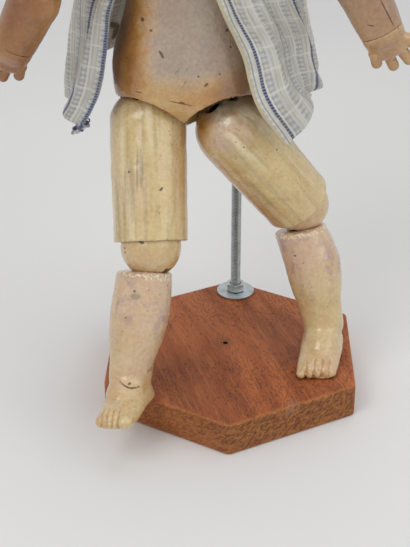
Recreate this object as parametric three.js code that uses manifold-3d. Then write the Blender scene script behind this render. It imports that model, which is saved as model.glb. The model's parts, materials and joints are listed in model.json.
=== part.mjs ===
// A ball-jointed composition doll with a bisque head, in an open checked shirt,
// held by a waist clip on a rod that stands in a hexagonal wooden base.
// Millimetres, +Z up. The doll faces -Y and its own left side is +X.
// The origin is the centre of the base's underside.

import * as THREE from 'three';
import { mergeVertices } from 'three/addons/utils/BufferGeometryUtils.js';
import Module from 'manifold-3d';

const wasm = await Module();
wasm.setup();

const vec = (x, y, z) => new THREE.Vector3(x, y, z);

// Clearances
const fit = 0.35; // gap between two pieces that touch on the real doll
const run = 0.4; // gap between a ball and its socket

// Stand
const baseRadius = 105; // centre to corner of the hexagon
const baseThick = 25;
const baseEdge = 2.2; // eased top and bottom edges
const plugHoleRadius = 1.6; // small blind hole near the middle of the top
const plugHoleDepth = 9;
const plugHoleX = -4;
const plugHoleY = 5;
const rodRadius = 4;
const rodX = 3;
const rodInset = 19; // from the back corner of the base
const rodY = baseRadius - rodInset;
const washerRadius = 15;
const washerThick = 1.6;
const nutAcross = 13; // across flats
const nutThick = 6.5;
const recessRadius = 17; // counterbore under the base
const recessDepth = 13;
const rodTopAboveClip = 10;

// Waist clip
const clipHeightAboveHips = 100;
const clipWidth = 11;
const clipThick = 1.6;
const clipOpenAngle = 100; // degrees left open at the front
const clipGap = 1.2; // round the waist
const clipWasherRadius = 8;
const clipWasherThick = 1.2;

// Doll, side to side and fore and aft
const dollX = -30.1;
const torsoSetBack = 6;
const shellWall = 3.6;

// Legs
const hipSpacing = 57;
const hipForward = 4;
const thighLength = 84.6; // hip centre to knee centre
const thighRadius = 26.5;
const thighRimRadius = 25.4;
const thighSlotWidth = 7.6;
const slotHoles = 5;
const hipSwing = { left: 20, right: 38 }; // degrees, forwards and outwards
const kneeBallRadius = 21;
const kneeBallStandOut = 3.5; // knee centre beyond the thigh's rim
const shinLength = 91.5; // knee centre to ankle centre
const shinRimDrop = 17.7; // knee centre to the lower leg's rim
const shinRimRadius = 19;
const calfRadius = 20.6;
const ankleRadius = 14.6;
const ankleHeight = 22.5;
const footLength = 61;
const footWidth = 30;
const heelBack = 15;
// The two rims are hand-cut: slope across, and shift to the outside
const rimTilt = { left: 0, right: 0.14 };
const rimShift = { left: -3.4, right: 1.6 };
const toeCount = 5;
const elasticRadius = 1.5;
const hookWire = 1.3;
const hookLoop = 5.2;
const limbBore = 6.5;
const ballBore = 3.6;

// Mouth of each hip socket, from the hip centre: to the outside, back and up
const mouthRadius = 30;
const mouthRight = vec(5, -6, -4);
const mouthLeft = vec(0, -10, 4);
// The left leg has sagged out of its socket
const leftHipSag = vec(2.1, 4, -5.3);

// Arms
const shoulderSpacing = 94;
const shoulderHeight = 138; // above the hips
const shoulderBallRadius = 16;
const upperArmLength = 68;
const upperArmRadius = 17;
const armRimDrop = 9;
const elbowBallRadius = 13.5;
const elbowStandOut = 8; // elbow centre beyond the upper arm's rim
const elbowRimRadius = 12.4;
const forearmLength = 60;
const forearmRimDrop = 10;
const forearmRadius = 17;
const wristRadius = 14;
const wristBallRadius = 9;
const palmLength = 18;
const palmWidth = 31;
const palmThick = 12;
const fingerRadius = 3.7;
const fingerLength = 7;
const wristRing = 2.4;
const wristShank = 5;
const forearmElastic = forearmLength - wristBallRadius - 2 * wristRing - 2 - fit - elasticRadius;

// Head
const neckRise = 29; // torso's neck rim above the shoulders
const neckHeight = shoulderHeight + neckRise; // above the hips
const neckBallRadius = 20;
const neckHoleRadius = 11;
const headWidth = 80;
const headDepth = 90;
const headHeight = 104;
const headWall = 4;
const crownCut = 27; // crown opening above the head's middle
const eyeRadius = 9;
const eyeSpacing = 30;
const eyeSlotWidth = 15;
const eyeSlotHeight = 9;
const wigThick = 7;

// Shirt
const clothThick = 1.3;
const armholeRadius = 22.5;

// How many flat faces go round each kind of form
const torsoFacets = 24;
const headFacets = 20;
const headRings = 17;
const limbFacets = 16;
const ballFacets = 14;
const cutFacets = 14;
const smallFacets = 12;

// Pose, as in the photograph: where each limb points from its joint
const rightThighWay = vec(0.039, -0.472, -0.88).normalize();
const leftThighWay = vec(0.579, 0.25, -0.776).normalize();
const rightShinWay = vec(-0.157, -0.369, -0.915).normalize();
const leftShinWay = vec(0.212, -0.234, -0.949).normalize();
const rightFootWay = vec(-0.27, -1, 0.3);
const leftFootWay = vec(-0.13, -1, 0);
const rightUpperArmWay = vec(-0.53, -0.81, -0.24).normalize();
const leftUpperArmWay = vec(0.735, -0.67, -0.09).normalize();
const rightForearmWay = vec(-0.46, 0.05, -0.887).normalize();
const leftForearmWay = vec(0.46, -0.07, -0.886).normalize();
// Where each thigh points when its hip has swung forward into a sitting pose
const rightSittingWay = vec(-0.6, -0.75, -0.28).normalize();
const leftSittingWay = vec(0.68, -0.68, -0.28).normalize();
const sitting = { left: leftSittingWay, right: rightSittingWay };

// Material of each kind of piece
const paint = {
  skin: { color: 0xcbb28a, roughness: 0.42, metalness: 0 },
  bisque: { color: 0xe6c9b4, roughness: 0.5, metalness: 0 },
  wood: { color: 0x9a5a37, roughness: 0.55, metalness: 0 },
  turnedWood: { color: 0xb98f5e, roughness: 0.6, metalness: 0 },
  zinc: { color: 0x9fa6ab, roughness: 0.35, metalness: 1 },
  wire: { color: 0x77787a, roughness: 0.4, metalness: 1 },
  elastic: { color: 0xd8cfbd, roughness: 0.9, metalness: 0 },
  cloth: { color: 0xb3b8bb, roughness: 0.95, metalness: 0 },
  hair: { color: 0x6b4528, roughness: 0.7, metalness: 0 },
  glass: { color: 0x4a5f7c, roughness: 0.1, metalness: 0 },
  lead: { color: 0x6a6b6e, roughness: 0.7, metalness: 0.6 },
  card: { color: 0xa8916c, roughness: 0.9, metalness: 0 },
};

// A piece: a mesh with its own material
function piece(name, geometry, kind) {
  geometry.computeVertexNormals();
  const mesh = new THREE.Mesh(geometry, new THREE.MeshStandardMaterial(paint[kind]));
  mesh.name = name;
  return mesh;
}

// Joining and cutting
function toSolid(geometry) {
  const bare = geometry.clone();
  bare.deleteAttribute('normal');
  bare.deleteAttribute('uv');
  const merged = mergeVertices(bare, 1e-3);
  const triVerts = [];
  for (let i = 0; i < merged.index.count; i += 3) {
    const [a, b, c] = [0, 1, 2].map((k) => merged.index.getX(i + k));
    if (a !== b && b !== c && a !== c) triVerts.push(a, b, c);
  }
  return new wasm.Manifold(new wasm.Mesh({
    numProp: 3,
    vertProperties: Float32Array.from(merged.attributes.position.array),
    triVerts: Uint32Array.from(triVerts),
  }));
}

function toGeometry(solid) {
  const mesh = solid.getMesh();
  const geometry = new THREE.BufferGeometry();
  geometry.setAttribute('position', new THREE.BufferAttribute(mesh.vertProperties.slice(), 3));
  geometry.setIndex(new THREE.BufferAttribute(mesh.triVerts.slice(), 1));
  return geometry;
}

function cut(body, ...tools) {
  return tools.reduce((solid, tool) => solid.subtract(tool), body);
}

function join(body, ...others) {
  return others.reduce((solid, other) => solid.add(other), body);
}

// Moves each vertex of a geometry to where the function says
function reshape(geometry, place) {
  const position = geometry.attributes.position;
  const point = new THREE.Vector3();
  for (let i = 0; i < position.count; i += 1) {
    point.fromBufferAttribute(position, i);
    const moved = place(point);
    position.setXYZ(i, moved.x, moved.y, moved.z);
  }
  return geometry;
}

// A smooth curve through rows of [station, value, value, ...]
function through(rows) {
  const last = rows.length - 1;
  const slope = (i, k) => {
    const a = rows[Math.max(i - 1, 0)];
    const b = rows[Math.min(i + 1, last)];
    return (b[k] - a[k]) / (b[0] - a[0]);
  };
  return (station) => {
    const s = THREE.MathUtils.clamp(station, rows[0][0], rows[last][0]);
    let i = 0;
    while (i < last - 1 && s > rows[i + 1][0]) i += 1;
    const width = rows[i + 1][0] - rows[i][0];
    const t = (s - rows[i][0]) / width;
    return rows[i].slice(1).map((value, j) => {
      const k = j + 1;
      const h = t * t * (3 - 2 * t);
      const m0 = slope(i, k) * width * t * (1 - t) * (1 - t);
      const m1 = slope(i + 1, k) * width * t * t * (t - 1);
      return value * (1 - h) + rows[i + 1][k] * h + m0 + m1;
    });
  };
}

// Basic shapes, upright along Z
function disc(radius, bottom, top, sides = limbFacets) {
  const geometry = new THREE.CylinderGeometry(radius, radius, top - bottom, sides);
  return geometry.rotateX(Math.PI / 2).translate(0, 0, (top + bottom) / 2);
}

function ball(radius, centre, around = ballFacets) {
  const geometry = new THREE.SphereGeometry(radius, around, Math.round(around * 0.62));
  return geometry.rotateX(Math.PI / 2).translate(centre.x, centre.y, centre.z);
}

// Cutting tools whose flat faces, not their corners, lie at the given radius
function discRoom(radius, bottom, top, around = limbFacets) {
  return disc(radius / Math.cos(Math.PI / around), bottom, top, around);
}

function ballRoom(radius, centre, around = limbFacets) {
  return ball(radius / Math.cos(Math.PI / around) ** 1.8, centre, around);
}

// Turned piece from [radius, height] points that close on themselves or on the axis,
// listed either way round
function turned(points, sides) {
  const outline = points.map(([r, z]) => new THREE.Vector2(r, z));
  if (THREE.ShapeUtils.area(outline) < 0) outline.reverse();
  return new THREE.LatheGeometry(outline, sides).rotateX(Math.PI / 2);
}

// Points of an arc about a centre on the axis, from one angle to another in degrees
function arc(radius, centreZ, fromDeg, toDeg, steps) {
  return Array.from({ length: steps + 1 }, (_, i) => {
    const angle = THREE.MathUtils.degToRad(fromDeg + ((toDeg - fromDeg) * i) / steps);
    return [radius * Math.cos(angle), centreZ + radius * Math.sin(angle)];
  });
}

// Round bar along a list of points
function bar(points, radius, sides = 8, steps = 24) {
  const path = new THREE.CatmullRomCurve3(points, false, 'catmullrom', 0.3);
  const section = new THREE.Shape();
  for (let i = 0; i < sides; i += 1) {
    const angle = (2 * Math.PI * i) / sides;
    const spot = [radius * Math.cos(angle), radius * Math.sin(angle)];
    if (i === 0) section.moveTo(...spot);
    else section.lineTo(...spot);
  }
  section.closePath();
  return new THREE.ExtrudeGeometry(section, { steps, bevelEnabled: false, extrudePath: path });
}

function straightBar(from, to, radius, sides = 8) {
  return bar([from, to], radius, sides, 1);
}

// Frame of a limb: its own -Z runs along the limb and its own -Y looks to the front
function limbTurn(way, front) {
  const up = way.clone().negate();
  const back = front.clone().negate();
  back.addScaledVector(up, -back.dot(up)).normalize();
  const side = back.clone().cross(up);
  return new THREE.Quaternion().setFromRotationMatrix(new THREE.Matrix4().makeBasis(side, back, up));
}

function placed(geometry, position, turn) {
  return geometry.applyQuaternion(turn).translate(position.x, position.y, position.z);
}

// Joint centres of the doll, worked out from the standing foot upwards
const soleGap = fit;
const hipHeight = baseThick + soleGap + ankleHeight
  - shinLength * leftShinWay.z - thighLength * leftThighWay.z - leftHipSag.z;
const sides = {
  left: {
    sign: 1,
    thighWay: leftThighWay,
    shinWay: leftShinWay,
    footWay: leftFootWay,
    mouth: mouthLeft,
    upperArmWay: leftUpperArmWay,
    forearmWay: leftForearmWay,
  },
  right: {
    sign: -1,
    thighWay: rightThighWay,
    shinWay: rightShinWay,
    footWay: rightFootWay,
    mouth: mouthRight,
    upperArmWay: rightUpperArmWay,
    forearmWay: rightForearmWay,
  },
};
for (const side of Object.values(sides)) {
  side.hip = vec(dollX + (side.sign * hipSpacing) / 2, -hipForward, hipHeight);
  if (side.sign > 0) side.hip.add(leftHipSag);
  side.knee = side.hip.clone().addScaledVector(side.thighWay, thighLength);
  side.ankle = side.knee.clone().addScaledVector(side.shinWay, shinLength);
  side.shoulder = vec(dollX + (side.sign * shoulderSpacing) / 2, 0, hipHeight + shoulderHeight);
  side.elbow = side.shoulder.clone().addScaledVector(side.upperArmWay, upperArmLength);
  side.wrist = side.elbow.clone().addScaledVector(side.forearmWay, forearmLength);
}
const forward = vec(0, -1, 0);
const hookMiddle = vec(dollX, torsoSetBack, hipHeight + shoulderHeight + 14);
const neckCentre = vec(dollX, torsoSetBack, hipHeight + neckHeight + neckBallRadius * 0.55);

// Base: hexagonal board, one corner to the front
function baseBoard() {
  const edgeShape = [
    [0, 0],
    [baseRadius - baseEdge, 0],
    [baseRadius, baseEdge],
    [baseRadius, baseThick - baseEdge],
    [baseRadius - baseEdge, baseThick],
    [0, baseThick],
  ];
  const board = toSolid(turned(edgeShape, 6));
  const rodHole = toSolid(disc(rodRadius + fit, -1, baseThick + 1, 24).translate(rodX, rodY, 0));
  const recess = toSolid(disc(recessRadius, -1, recessDepth, 32).translate(rodX, rodY, 0));
  const plugHole = disc(plugHoleRadius, baseThick - plugHoleDepth, baseThick + 1, 12);
  return toGeometry(cut(board, rodHole, recess, toSolid(plugHole.translate(plugHoleX, plugHoleY, 0))));
}

// Hexagon nut and flat washer with a hole for the rod
function nut(bottom) {
  const corner = nutAcross / Math.sqrt(3);
  const chamfer = 0.8;
  const outline = [
    [rodRadius + fit, bottom],
    [corner - chamfer, bottom],
    [corner, bottom + chamfer],
    [corner, bottom + nutThick - chamfer],
    [corner - chamfer, bottom + nutThick],
    [rodRadius + fit, bottom + nutThick],
    [rodRadius + fit, bottom],
  ];
  const body = turned([[0, bottom], ...outline.slice(1, 5), [0, bottom + nutThick]], 6);
  const hole = disc(rodRadius + fit, bottom - 1, bottom + nutThick + 1, smallFacets);
  return toGeometry(cut(toSolid(body), toSolid(hole))).translate(rodX, rodY, 0);
}

function washer(bottom, radius, thick) {
  const inner = rodRadius + fit;
  const outline = [[inner, 0], [radius, 0], [radius, thick], [inner, thick], [inner, 0]];
  return turned(outline, limbFacets).translate(rodX, rodY, bottom);
}

// Torso: rows of [height above the hips, half width, front depth, back depth], drawn for a neck
// rim 167 above the hips and stretched to the real one
const drawnNeckHeight = 167;
const torsoStretch = neckHeight / drawnNeckHeight;
const torsoRows = [
  [-3, 10, 9, 10],
  [0, 24, 17, 19],
  [4, 36, 24, 26],
  [10, 45, 31, 33],
  [20, 50.5, 37, 38],
  [34, 52.5, 40, 38],
  [50, 51.5, 40.5, 35],
  [66, 47, 37.5, 32],
  [82, 42.5, 34, 30],
  [96, 41.5, 32, 29.5],
  [112, 43, 31.5, 30.5],
  [128, 45.5, 31.5, 31.5],
  [142, 44, 29, 30.5],
  [153, 36, 25, 27],
  [161, 27, 21.5, 22.5],
  [drawnNeckHeight, 23.5, 21, 21.5],
].map(([height, ...sizes]) => [height * torsoStretch, ...sizes]);
const torsoAt = through(torsoRows);
const torsoSquareness = 2.25;

// Radius of a rounded-square section in the direction (c, s)
function sectionRadius(c, s, halfWidth, front, back, squareness) {
  const depth = s < 0 ? front : back;
  const sum = Math.abs(c / halfWidth) ** squareness + Math.abs(s / depth) ** squareness;
  return sum ** (-1 / squareness);
}

function torsoForm(shrink, bottomInset, topInset, around, rows) {
  const low = torsoRows[0][0] + bottomInset;
  const high = neckHeight + topInset;
  const geometry = new THREE.CylinderGeometry(1, 1, 1, around, rows).rotateX(Math.PI / 2);
  return reshape(geometry, (p) => {
    const rise = p.z + 0.5;
    const height = low + (high - low) * (rise < 0.12 ? rise * 0.6 : (rise - 0.12) * (0.928 / 0.88) + 0.072);
    const r = Math.hypot(p.x, p.y);
    const [halfWidth, front, back] = torsoAt(height);
    const [c, s] = r > 0 ? [p.x / r, p.y / r] : [1, 0];
    const radius = sectionRadius(c, s, halfWidth, front, back, torsoSquareness) - shrink;
    return vec(dollX + c * radius * r, torsoSetBack + s * radius * r, hipHeight + height);
  });
}

// Where a thigh passes as its hip swings: hip ball, cylinder at rest and cylinder when sitting
function thighRoom(side, name, extra, turns, facets) {
  const radius = thighRadius + run + extra;
  const reach = thighLength * 0.8;
  const axis = side.thighWay.clone().cross(sitting[name]).normalize();
  const swing = side.thighWay.angleTo(sitting[name]);
  let room = toSolid(ballRoom(radius, side.hip, facets));
  for (let i = 0; i <= turns; i += 1) {
    const way = side.thighWay.clone().applyAxisAngle(axis, (swing * i) / turns);
    const tube = discRoom(radius, -reach, 0, facets);
    room = join(room, toSolid(placed(tube, side.hip, limbTurn(way, vec(0, -1, 0.01)))));
  }
  const outward = vec(side.mouth.x * side.sign, side.mouth.y, side.mouth.z);
  return join(room, toSolid(ballRoom(mouthRadius + extra, side.hip.clone().add(outward), facets)));
}

// Torso: a hollow shell with hip sockets, shoulder sockets, neck cup and elastic holes
function torsoShell() {
  let shell = toSolid(torsoForm(0, 0, 0, torsoFacets, 15));
  let hollow = toSolid(torsoForm(shellWall, shellWall, -shellWall, cutFacets, 8));
  const hook = vec(dollX, torsoSetBack, hookMiddle.z);
  const holes = [];
  for (const [name, side] of Object.entries(sides)) {
    shell = cut(shell, thighRoom(side, name, 0, 2, limbFacets));
    hollow = cut(hollow, thighRoom(side, name, shellWall, 1, 8));
    const arm = toSolid(ballRoom(shoulderBallRadius + run, side.shoulder));
    shell = cut(shell, arm);
    hollow = cut(hollow, toSolid(ballRoom(shoulderBallRadius + run + shellWall, side.shoulder, 8)));
    const inner = vec(dollX, side.shoulder.y, side.shoulder.z);
    const armHole = straightBar(inner, side.shoulder, limbBore, 8);
    const legHole = straightBar(hook, side.hip, limbBore, 8);
    holes.push(toSolid(armHole), toSolid(legHole));
  }
  const cup = toSolid(ballRoom(neckBallRadius + run, neckCentre));
  const neckHole = disc(neckHoleRadius, -30, 5, smallFacets);
  neckHole.translate(dollX, torsoSetBack, hipHeight + neckHeight);
  shell = cut(shell, hollow, cup, toSolid(neckHole), ...holes);
  return toGeometry(shell);
}

// Radius of a turned ball seat whose flat faces clear the ball
function seatRadius(radius, facets, stepDeg) {
  const halfStep = THREE.MathUtils.degToRad(stepDeg / 2);
  return (radius + run) / Math.cos(Math.PI / facets) / Math.cos(halfStep);
}

// Thigh: turned shell with a ball top and a hollow lower end for the knee ball
function thighShell(side, name) {
  const rim = -(thighLength - kneeBallStandOut);
  const facets = limbFacets + 2;
  const seat = seatRadius(kneeBallRadius, facets, 18);
  const seatAngle = THREE.MathUtils.radToDeg(Math.asin(kneeBallStandOut / seat));
  const innerRadius = thighRadius - shellWall - 1;
  const ease = 2;
  const outline = [
    ...arc(thighRadius, 0, 76, 0, 5),
    [thighRadius - 0.1, rim * 0.4],
    [thighRimRadius, rim + ease],
    [thighRimRadius - ease, rim],
    ...arc(seat, -thighLength, seatAngle, 62, 3),
    [innerRadius, rim + 26],
    ...arc(innerRadius, 0, 0, 73.5, 2),
  ];
  outline.push(outline[0]);
  const slots = elasticSlots(side, name).map((slot) => toSolid(slot));
  return toGeometry(cut(toSolid(turned(outline, facets)), ...slots));
}

// Slot in the top of a thigh, one hole for each step of the swing: the body's elastic stays
// where it is while the thigh turns under it
function elasticSlots(side, name) {
  const toLimb = limbTurn(side.thighWay, forward).invert();
  const axis = side.thighWay.clone().cross(sitting[name]).normalize();
  const pull = hookMiddle.clone().sub(side.hip).normalize();
  return Array.from({ length: slotHoles }, (_, i) => {
    const swing = THREE.MathUtils.degToRad((hipSwing[name] * i) / (slotHoles - 1));
    const way = pull.clone().applyAxisAngle(axis, -swing).applyQuaternion(toLimb);
    return straightBar(vec(0, 0, 0), way.multiplyScalar(thighRadius + 4), thighSlotWidth / 2);
  });
}

// Fan-shaped slot in a limb's own front-to-back plane. Angles from straight down to the front
function fan(reach, width, fromDeg, toDeg) {
  const way = (deg, length) => {
    const angle = THREE.MathUtils.degToRad(deg);
    return new THREE.Vector2(-Math.sin(angle) * length, -Math.cos(angle) * length);
  };
  const back = way(fromDeg - 90, width / 2);
  const front = way(toDeg + 90, width / 2);
  const shape = new THREE.Shape([
    back,
    way(fromDeg, reach).add(back),
    way((fromDeg + toDeg) / 2, reach * 1.15),
    way(toDeg, reach).add(front),
    front,
  ]);
  const slot = new THREE.ExtrudeGeometry(shape, { depth: width, bevelEnabled: false, steps: 1 });
  const turn = new THREE.Matrix4().makeBasis(vec(0, 1, 0), vec(0, 0, 1), vec(1, 0, 0));
  return slot.translate(0, 0, -width / 2).applyMatrix4(turn);
}

// Ball between two limbs: a bore for the elastic from above, in the direction of `pull`, and
// a fan-shaped slot below that lets the next limb's elastic bend
function jointBall(radius, pull, slotFrom, slotTo) {
  const body = toSolid(ball(radius, vec(0, 0, 0)));
  const start = pull.clone().multiplyScalar(-elasticRadius - 1);
  const bore = straightBar(start, pull.clone().multiplyScalar(radius + 2), ballBore);
  return toGeometry(cut(body, toSolid(bore), toSolid(fan(radius + 2, 2 * ballBore, slotFrom, slotTo))));
}

// Lower leg with its foot. Rows of [distance below the knee, radius across, radius fore and aft,
// offset to the outside, offset to the back]
const calfLength = shinLength - shinRimDrop;
const shinRows = [
  [shinRimDrop, shinRimRadius - 1, shinRimRadius - 1, 0, 0],
  [shinRimDrop + 1.5, shinRimRadius, shinRimRadius, 0, 0],
  [shinRimDrop + calfLength * 0.16, calfRadius - 0.8, calfRadius - 0.4, 0.4, 1],
  [shinRimDrop + calfLength * 0.37, calfRadius, calfRadius + 0.2, 0.6, 1.6],
  [shinRimDrop + calfLength * 0.61, calfRadius - 1.6, calfRadius - 1.4, 0.6, 1.2],
  [shinRimDrop + calfLength * 0.81, ankleRadius + 1, ankleRadius + 0.8, 0.4, 0.2],
  [shinRimDrop + calfLength * 0.95, ankleRadius, ankleRadius, 0.2, 0],
  [shinLength + 4, ankleRadius + 0.2, ankleRadius + 0.4, 0, 0],
];
const shinAt = through(shinRows);

function shinForm(sign) {
  const from = shinRows[0][0];
  const to = shinRows.at(-1)[0];
  const geometry = new THREE.CylinderGeometry(1, 1, 1, limbFacets, 8).rotateX(Math.PI / 2);
  return reshape(geometry, (p) => {
    const drop = from + (to - from) * (0.5 - p.z);
    const [across, fore, out, back] = shinAt(drop);
    const name = sign > 0 ? 'left' : 'right';
    const fade = Math.max(0, 1 - (drop - from) / 26);
    const x = p.x * across + sign * (out + rimShift[name] * fade);
    return vec(x, p.y * fore + back, -drop + rimTilt[name] * fade * p.x * across);
  });
}

// Foot in its own frame: sole at -ankleHeight, toes towards -Y. Rows of
// [distance from the heel, half width, height of the instep, offset to the inside]
const footRows = [
  [0, 6, 12, 0],
  [footLength * 0.05, 11.5, 17, 0],
  [footLength * 0.19, footWidth / 2, 22.5, -0.4],
  [footLength * 0.38, footWidth / 2 + 0.4, 22.5, -0.6],
  [footLength * 0.56, footWidth / 2 + 0.2, 17.5, 0],
  [footLength * 0.74, footWidth / 2, 13, 0.6],
  [footLength * 0.88, footWidth / 2 - 0.6, 11, 1],
  [footLength * 0.94, footWidth / 2 - 1.6, 9, 1.3],
  [footLength * 0.97, footWidth / 2 - 4, 6.6, 1.8],
];
const footAt = through(footRows);

function footForm(sign) {
  const to = footRows.at(-1)[0];
  const geometry = new THREE.CylinderGeometry(1, 1, 1, cutFacets, 8);
  const body = reshape(geometry, (p) => {
    const along = to * (0.5 - p.y);
    const [half, tall, inside] = footAt(along);
    const low = -ankleHeight + (along < 4 ? (4 - along) * 0.5 : 0);
    const height = p.z > 0 ? 0.72 * tall * p.z : 0.28 * tall * Math.max(p.z, -1);
    const flat = Math.max(low, low + 0.28 * tall + height);
    return vec(p.x * half - sign * inside, heelBack - along, flat);
  });
  return body;
}

// Toes: a broad big toe on the inside and four narrow ones
function toe(sign, index) {
  const big = index === 0;
  const radius = big ? 5.6 : 3.1 - 0.15 * index;
  const across = big ? -(footWidth / 2 - 5.8) : -3.6 + 4.2 * index;
  const tip = footLength - heelBack + 2 - radius - (big ? 0 : 0.5 + 0.42 * index * index);
  const flat = big ? 0.72 : 1;
  const geometry = new THREE.CapsuleGeometry(radius, 9, 1, 6);
  geometry.translate(0, 4.5, 0).scale(1, 1, flat);
  return geometry.translate(sign * across, -tip, -ankleHeight + radius * flat + 0.02);
}

// Turn of the foot against the shin, taken from the standing leg and mirrored for the other
function footTurn(sign) {
  const shin = limbTurn(leftShinWay, leftFootWay);
  const foot = limbTurn(vec(0, 0, -1), leftFootWay);
  const turn = shin.invert().multiply(foot);
  return sign > 0 ? turn : new THREE.Quaternion(turn.x, -turn.y, -turn.z, turn.w);
}

function lowerLeg(sign) {
  const turn = footTurn(sign);
  const ankle = vec(0, 0, -shinLength);
  let leg = toSolid(shinForm(sign));
  leg = join(leg, toSolid(placed(footForm(sign), ankle, turn)));
  for (let i = 0; i < toeCount; i += 1) {
    leg = join(leg, toSolid(placed(toe(sign, i), ankle, turn)));
  }
  const seat = toSolid(ballRoom(kneeBallRadius + run, vec(0, 0, 0)));
  const bore = toSolid(discRoom(limbBore + 1, -shinLength * 0.74, 0, 8));
  return toGeometry(cut(leg, seat, bore));
}

// Upper arm and forearm: turned shells with a ball seat at each end
function upperArmShell() {
  const rim = -(upperArmLength - elbowStandOut);
  const top = seatRadius(shoulderBallRadius, limbFacets, 14);
  const low = seatRadius(elbowBallRadius, limbFacets, 12);
  const topAngle = THREE.MathUtils.radToDeg(Math.asin(armRimDrop / top));
  const lowAngle = THREE.MathUtils.radToDeg(Math.asin(elbowStandOut / low));
  const outline = [
    ...arc(top, 0, -topAngle, -62, 2),
    [limbBore, -armRimDrop - 9],
    [limbBore, rim + 8],
    ...arc(low, -upperArmLength, 58, lowAngle, 2),
    [elbowRimRadius, rim],
    [elbowRimRadius + 2.2, rim + 3],
    [upperArmRadius + 0.4, rim * 0.62],
    [upperArmRadius, rim * 0.36],
    [upperArmRadius - 0.6, -armRimDrop - 3],
    [upperArmRadius - 2, -armRimDrop],
  ];
  outline.push(outline[0]);
  return toGeometry(toSolid(turned(outline, limbFacets)));
}

function forearmShell() {
  const rim = -(forearmLength - 4);
  const top = seatRadius(elbowBallRadius, limbFacets, 8);
  const low = seatRadius(wristBallRadius, limbFacets, 14);
  const topAngle = THREE.MathUtils.radToDeg(Math.asin(forearmRimDrop / top));
  const lowAngle = THREE.MathUtils.radToDeg(Math.asin(4 / low));
  const outline = [
    ...arc(top, 0, -topAngle, -60, 2),
    [limbBore - 1, -forearmRimDrop - 6],
    [limbBore - 1, rim + 6],
    ...arc(low, -forearmLength, 55, lowAngle, 2),
    [wristRadius - 2, rim],
    [wristRadius, rim + 2],
    [wristRadius + 1, rim + 11],
    [forearmRadius - 1.2, rim + 24],
    [forearmRadius, -forearmRimDrop - 14],
    [forearmRadius - 1.6, -forearmRimDrop - 6],
    [elbowRimRadius - 0.7, -forearmRimDrop],
  ];
  outline.push(outline[0]);
  return toGeometry(toSolid(turned(outline, limbFacets)));
}

// Hand: wrist ball, cupped palm, four spread fingers and a thumb, palm to the front
function hand(sign) {
  let body = toSolid(ball(wristBallRadius, vec(0, 0, 0), smallFacets));
  const neck = disc(wristBallRadius - 1.5, -10, 0, 8);
  const palm = new THREE.SphereGeometry(1, smallFacets, 8).scale(palmWidth / 2, palmThick / 2, palmLength / 2);
  palm.translate(0, 0, -palmLength / 2 - 5);
  body = join(body, toSolid(neck), toSolid(palm));
  for (let i = 0; i < 4; i += 1) {
    const share = i / 3 - 0.5;
    const length = fingerLength - 3 * Math.abs(share + 0.1);
    const finger = new THREE.CapsuleGeometry(fingerRadius - 0.15 * i, length, 1, 6);
    finger.rotateX(Math.PI / 2).translate(0, 0, -length / 2);
    finger.rotateX(0.3).rotateY(-sign * share * 0.5);
    finger.translate(-sign * share * (palmWidth - 7.5), -0.8, -palmLength + 1);
    body = join(body, toSolid(finger));
  }
  const thumb = new THREE.CapsuleGeometry(fingerRadius + 0.4, fingerLength - 3, 2, 6);
  thumb.rotateX(Math.PI / 2).translate(0, 0, -fingerLength / 2).rotateX(0.3).rotateY(-sign * 0.85);
  thumb.translate(sign * (palmWidth / 2 - 5), -1, -palmLength / 2 - 2);
  const hole = disc(0.8 + fit, -wristShank - fit, wristBallRadius + 2, 8);
  return toGeometry(cut(join(body, toSolid(thumb)), toSolid(hole)));
}

// Head: rows of [height from the middle of the head, half width, face depth, back depth]
const headRows = [
  [-headHeight * 0.5, 12, 16, 12],
  [-headHeight * 0.47, 19, 30, 17],
  [-headHeight * 0.4, 27, 38, 24],
  [-headHeight * 0.28, 34, 40.5, 33],
  [-headHeight * 0.13, 38, 41, 40],
  [0.02, headWidth / 2 - 0.5, headDepth * 0.445, headDepth * 0.49],
  [headHeight * 0.15, headWidth / 2, headDepth * 0.455, headDepth * 0.51],
  [headHeight * 0.3, 36.5, 37, 41],
  [headHeight * 0.42, 26, 26, 29],
  [headHeight * 0.48, 14, 14, 15],
  [headHeight * 0.5, 3, 3, 3],
];
const headAt = through(headRows);
const headMiddle = vec(dollX, torsoSetBack + 1, neckCentre.z + 10 + headHeight / 2);

// Raised features of the face: [across, height, spread across, spread up, rise]
const faceBumps = [
  [0, -10, 4.2, 6.5, 6.2],
  [0, -26, 8, 3, 2.4],
  [0, -40, 9, 6, 2.6],
  [19, -20, 11, 12, 2],
  [-19, -20, 11, 12, 2],
  [15, 3, 8, 5, -3.2],
  [-15, 3, 8, 5, -3.2],
];

function headForm(grow, features, around, rows) {
  const geometry = new THREE.SphereGeometry(1, around, rows).rotateX(Math.PI / 2);
  return reshape(geometry, (p) => {
    const height = (headHeight / 2) * p.z;
    const r = Math.hypot(p.x, p.y);
    const [c, s] = r > 1e-6 ? [p.x / r, p.y / r] : [1, 0];
    const [halfWidth, front, back] = headAt(height);
    let radius = r > 1e-6 ? sectionRadius(c, s, halfWidth, front, back, 2.15) : 0;
    if (features && s < 0) {
      for (const [x, z, spreadX, spreadZ, rise] of faceBumps) {
        const fall = ((c * radius - x) / spreadX) ** 2 + ((height - z) / spreadZ) ** 2;
        radius += rise * Math.exp(-fall) * Math.min(1, -s * 1.5);
      }
    }
    const spot = vec(c * radius, s * radius, height).addScaledVector(p, grow);
    return spot.add(headMiddle);
  });
}

function eyeCentre(sign) {
  return vec(headMiddle.x + (sign * eyeSpacing) / 2, headMiddle.y - headDepth * 0.445 + eyeRadius + 4.2,
    headMiddle.z + 3);
}

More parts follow.
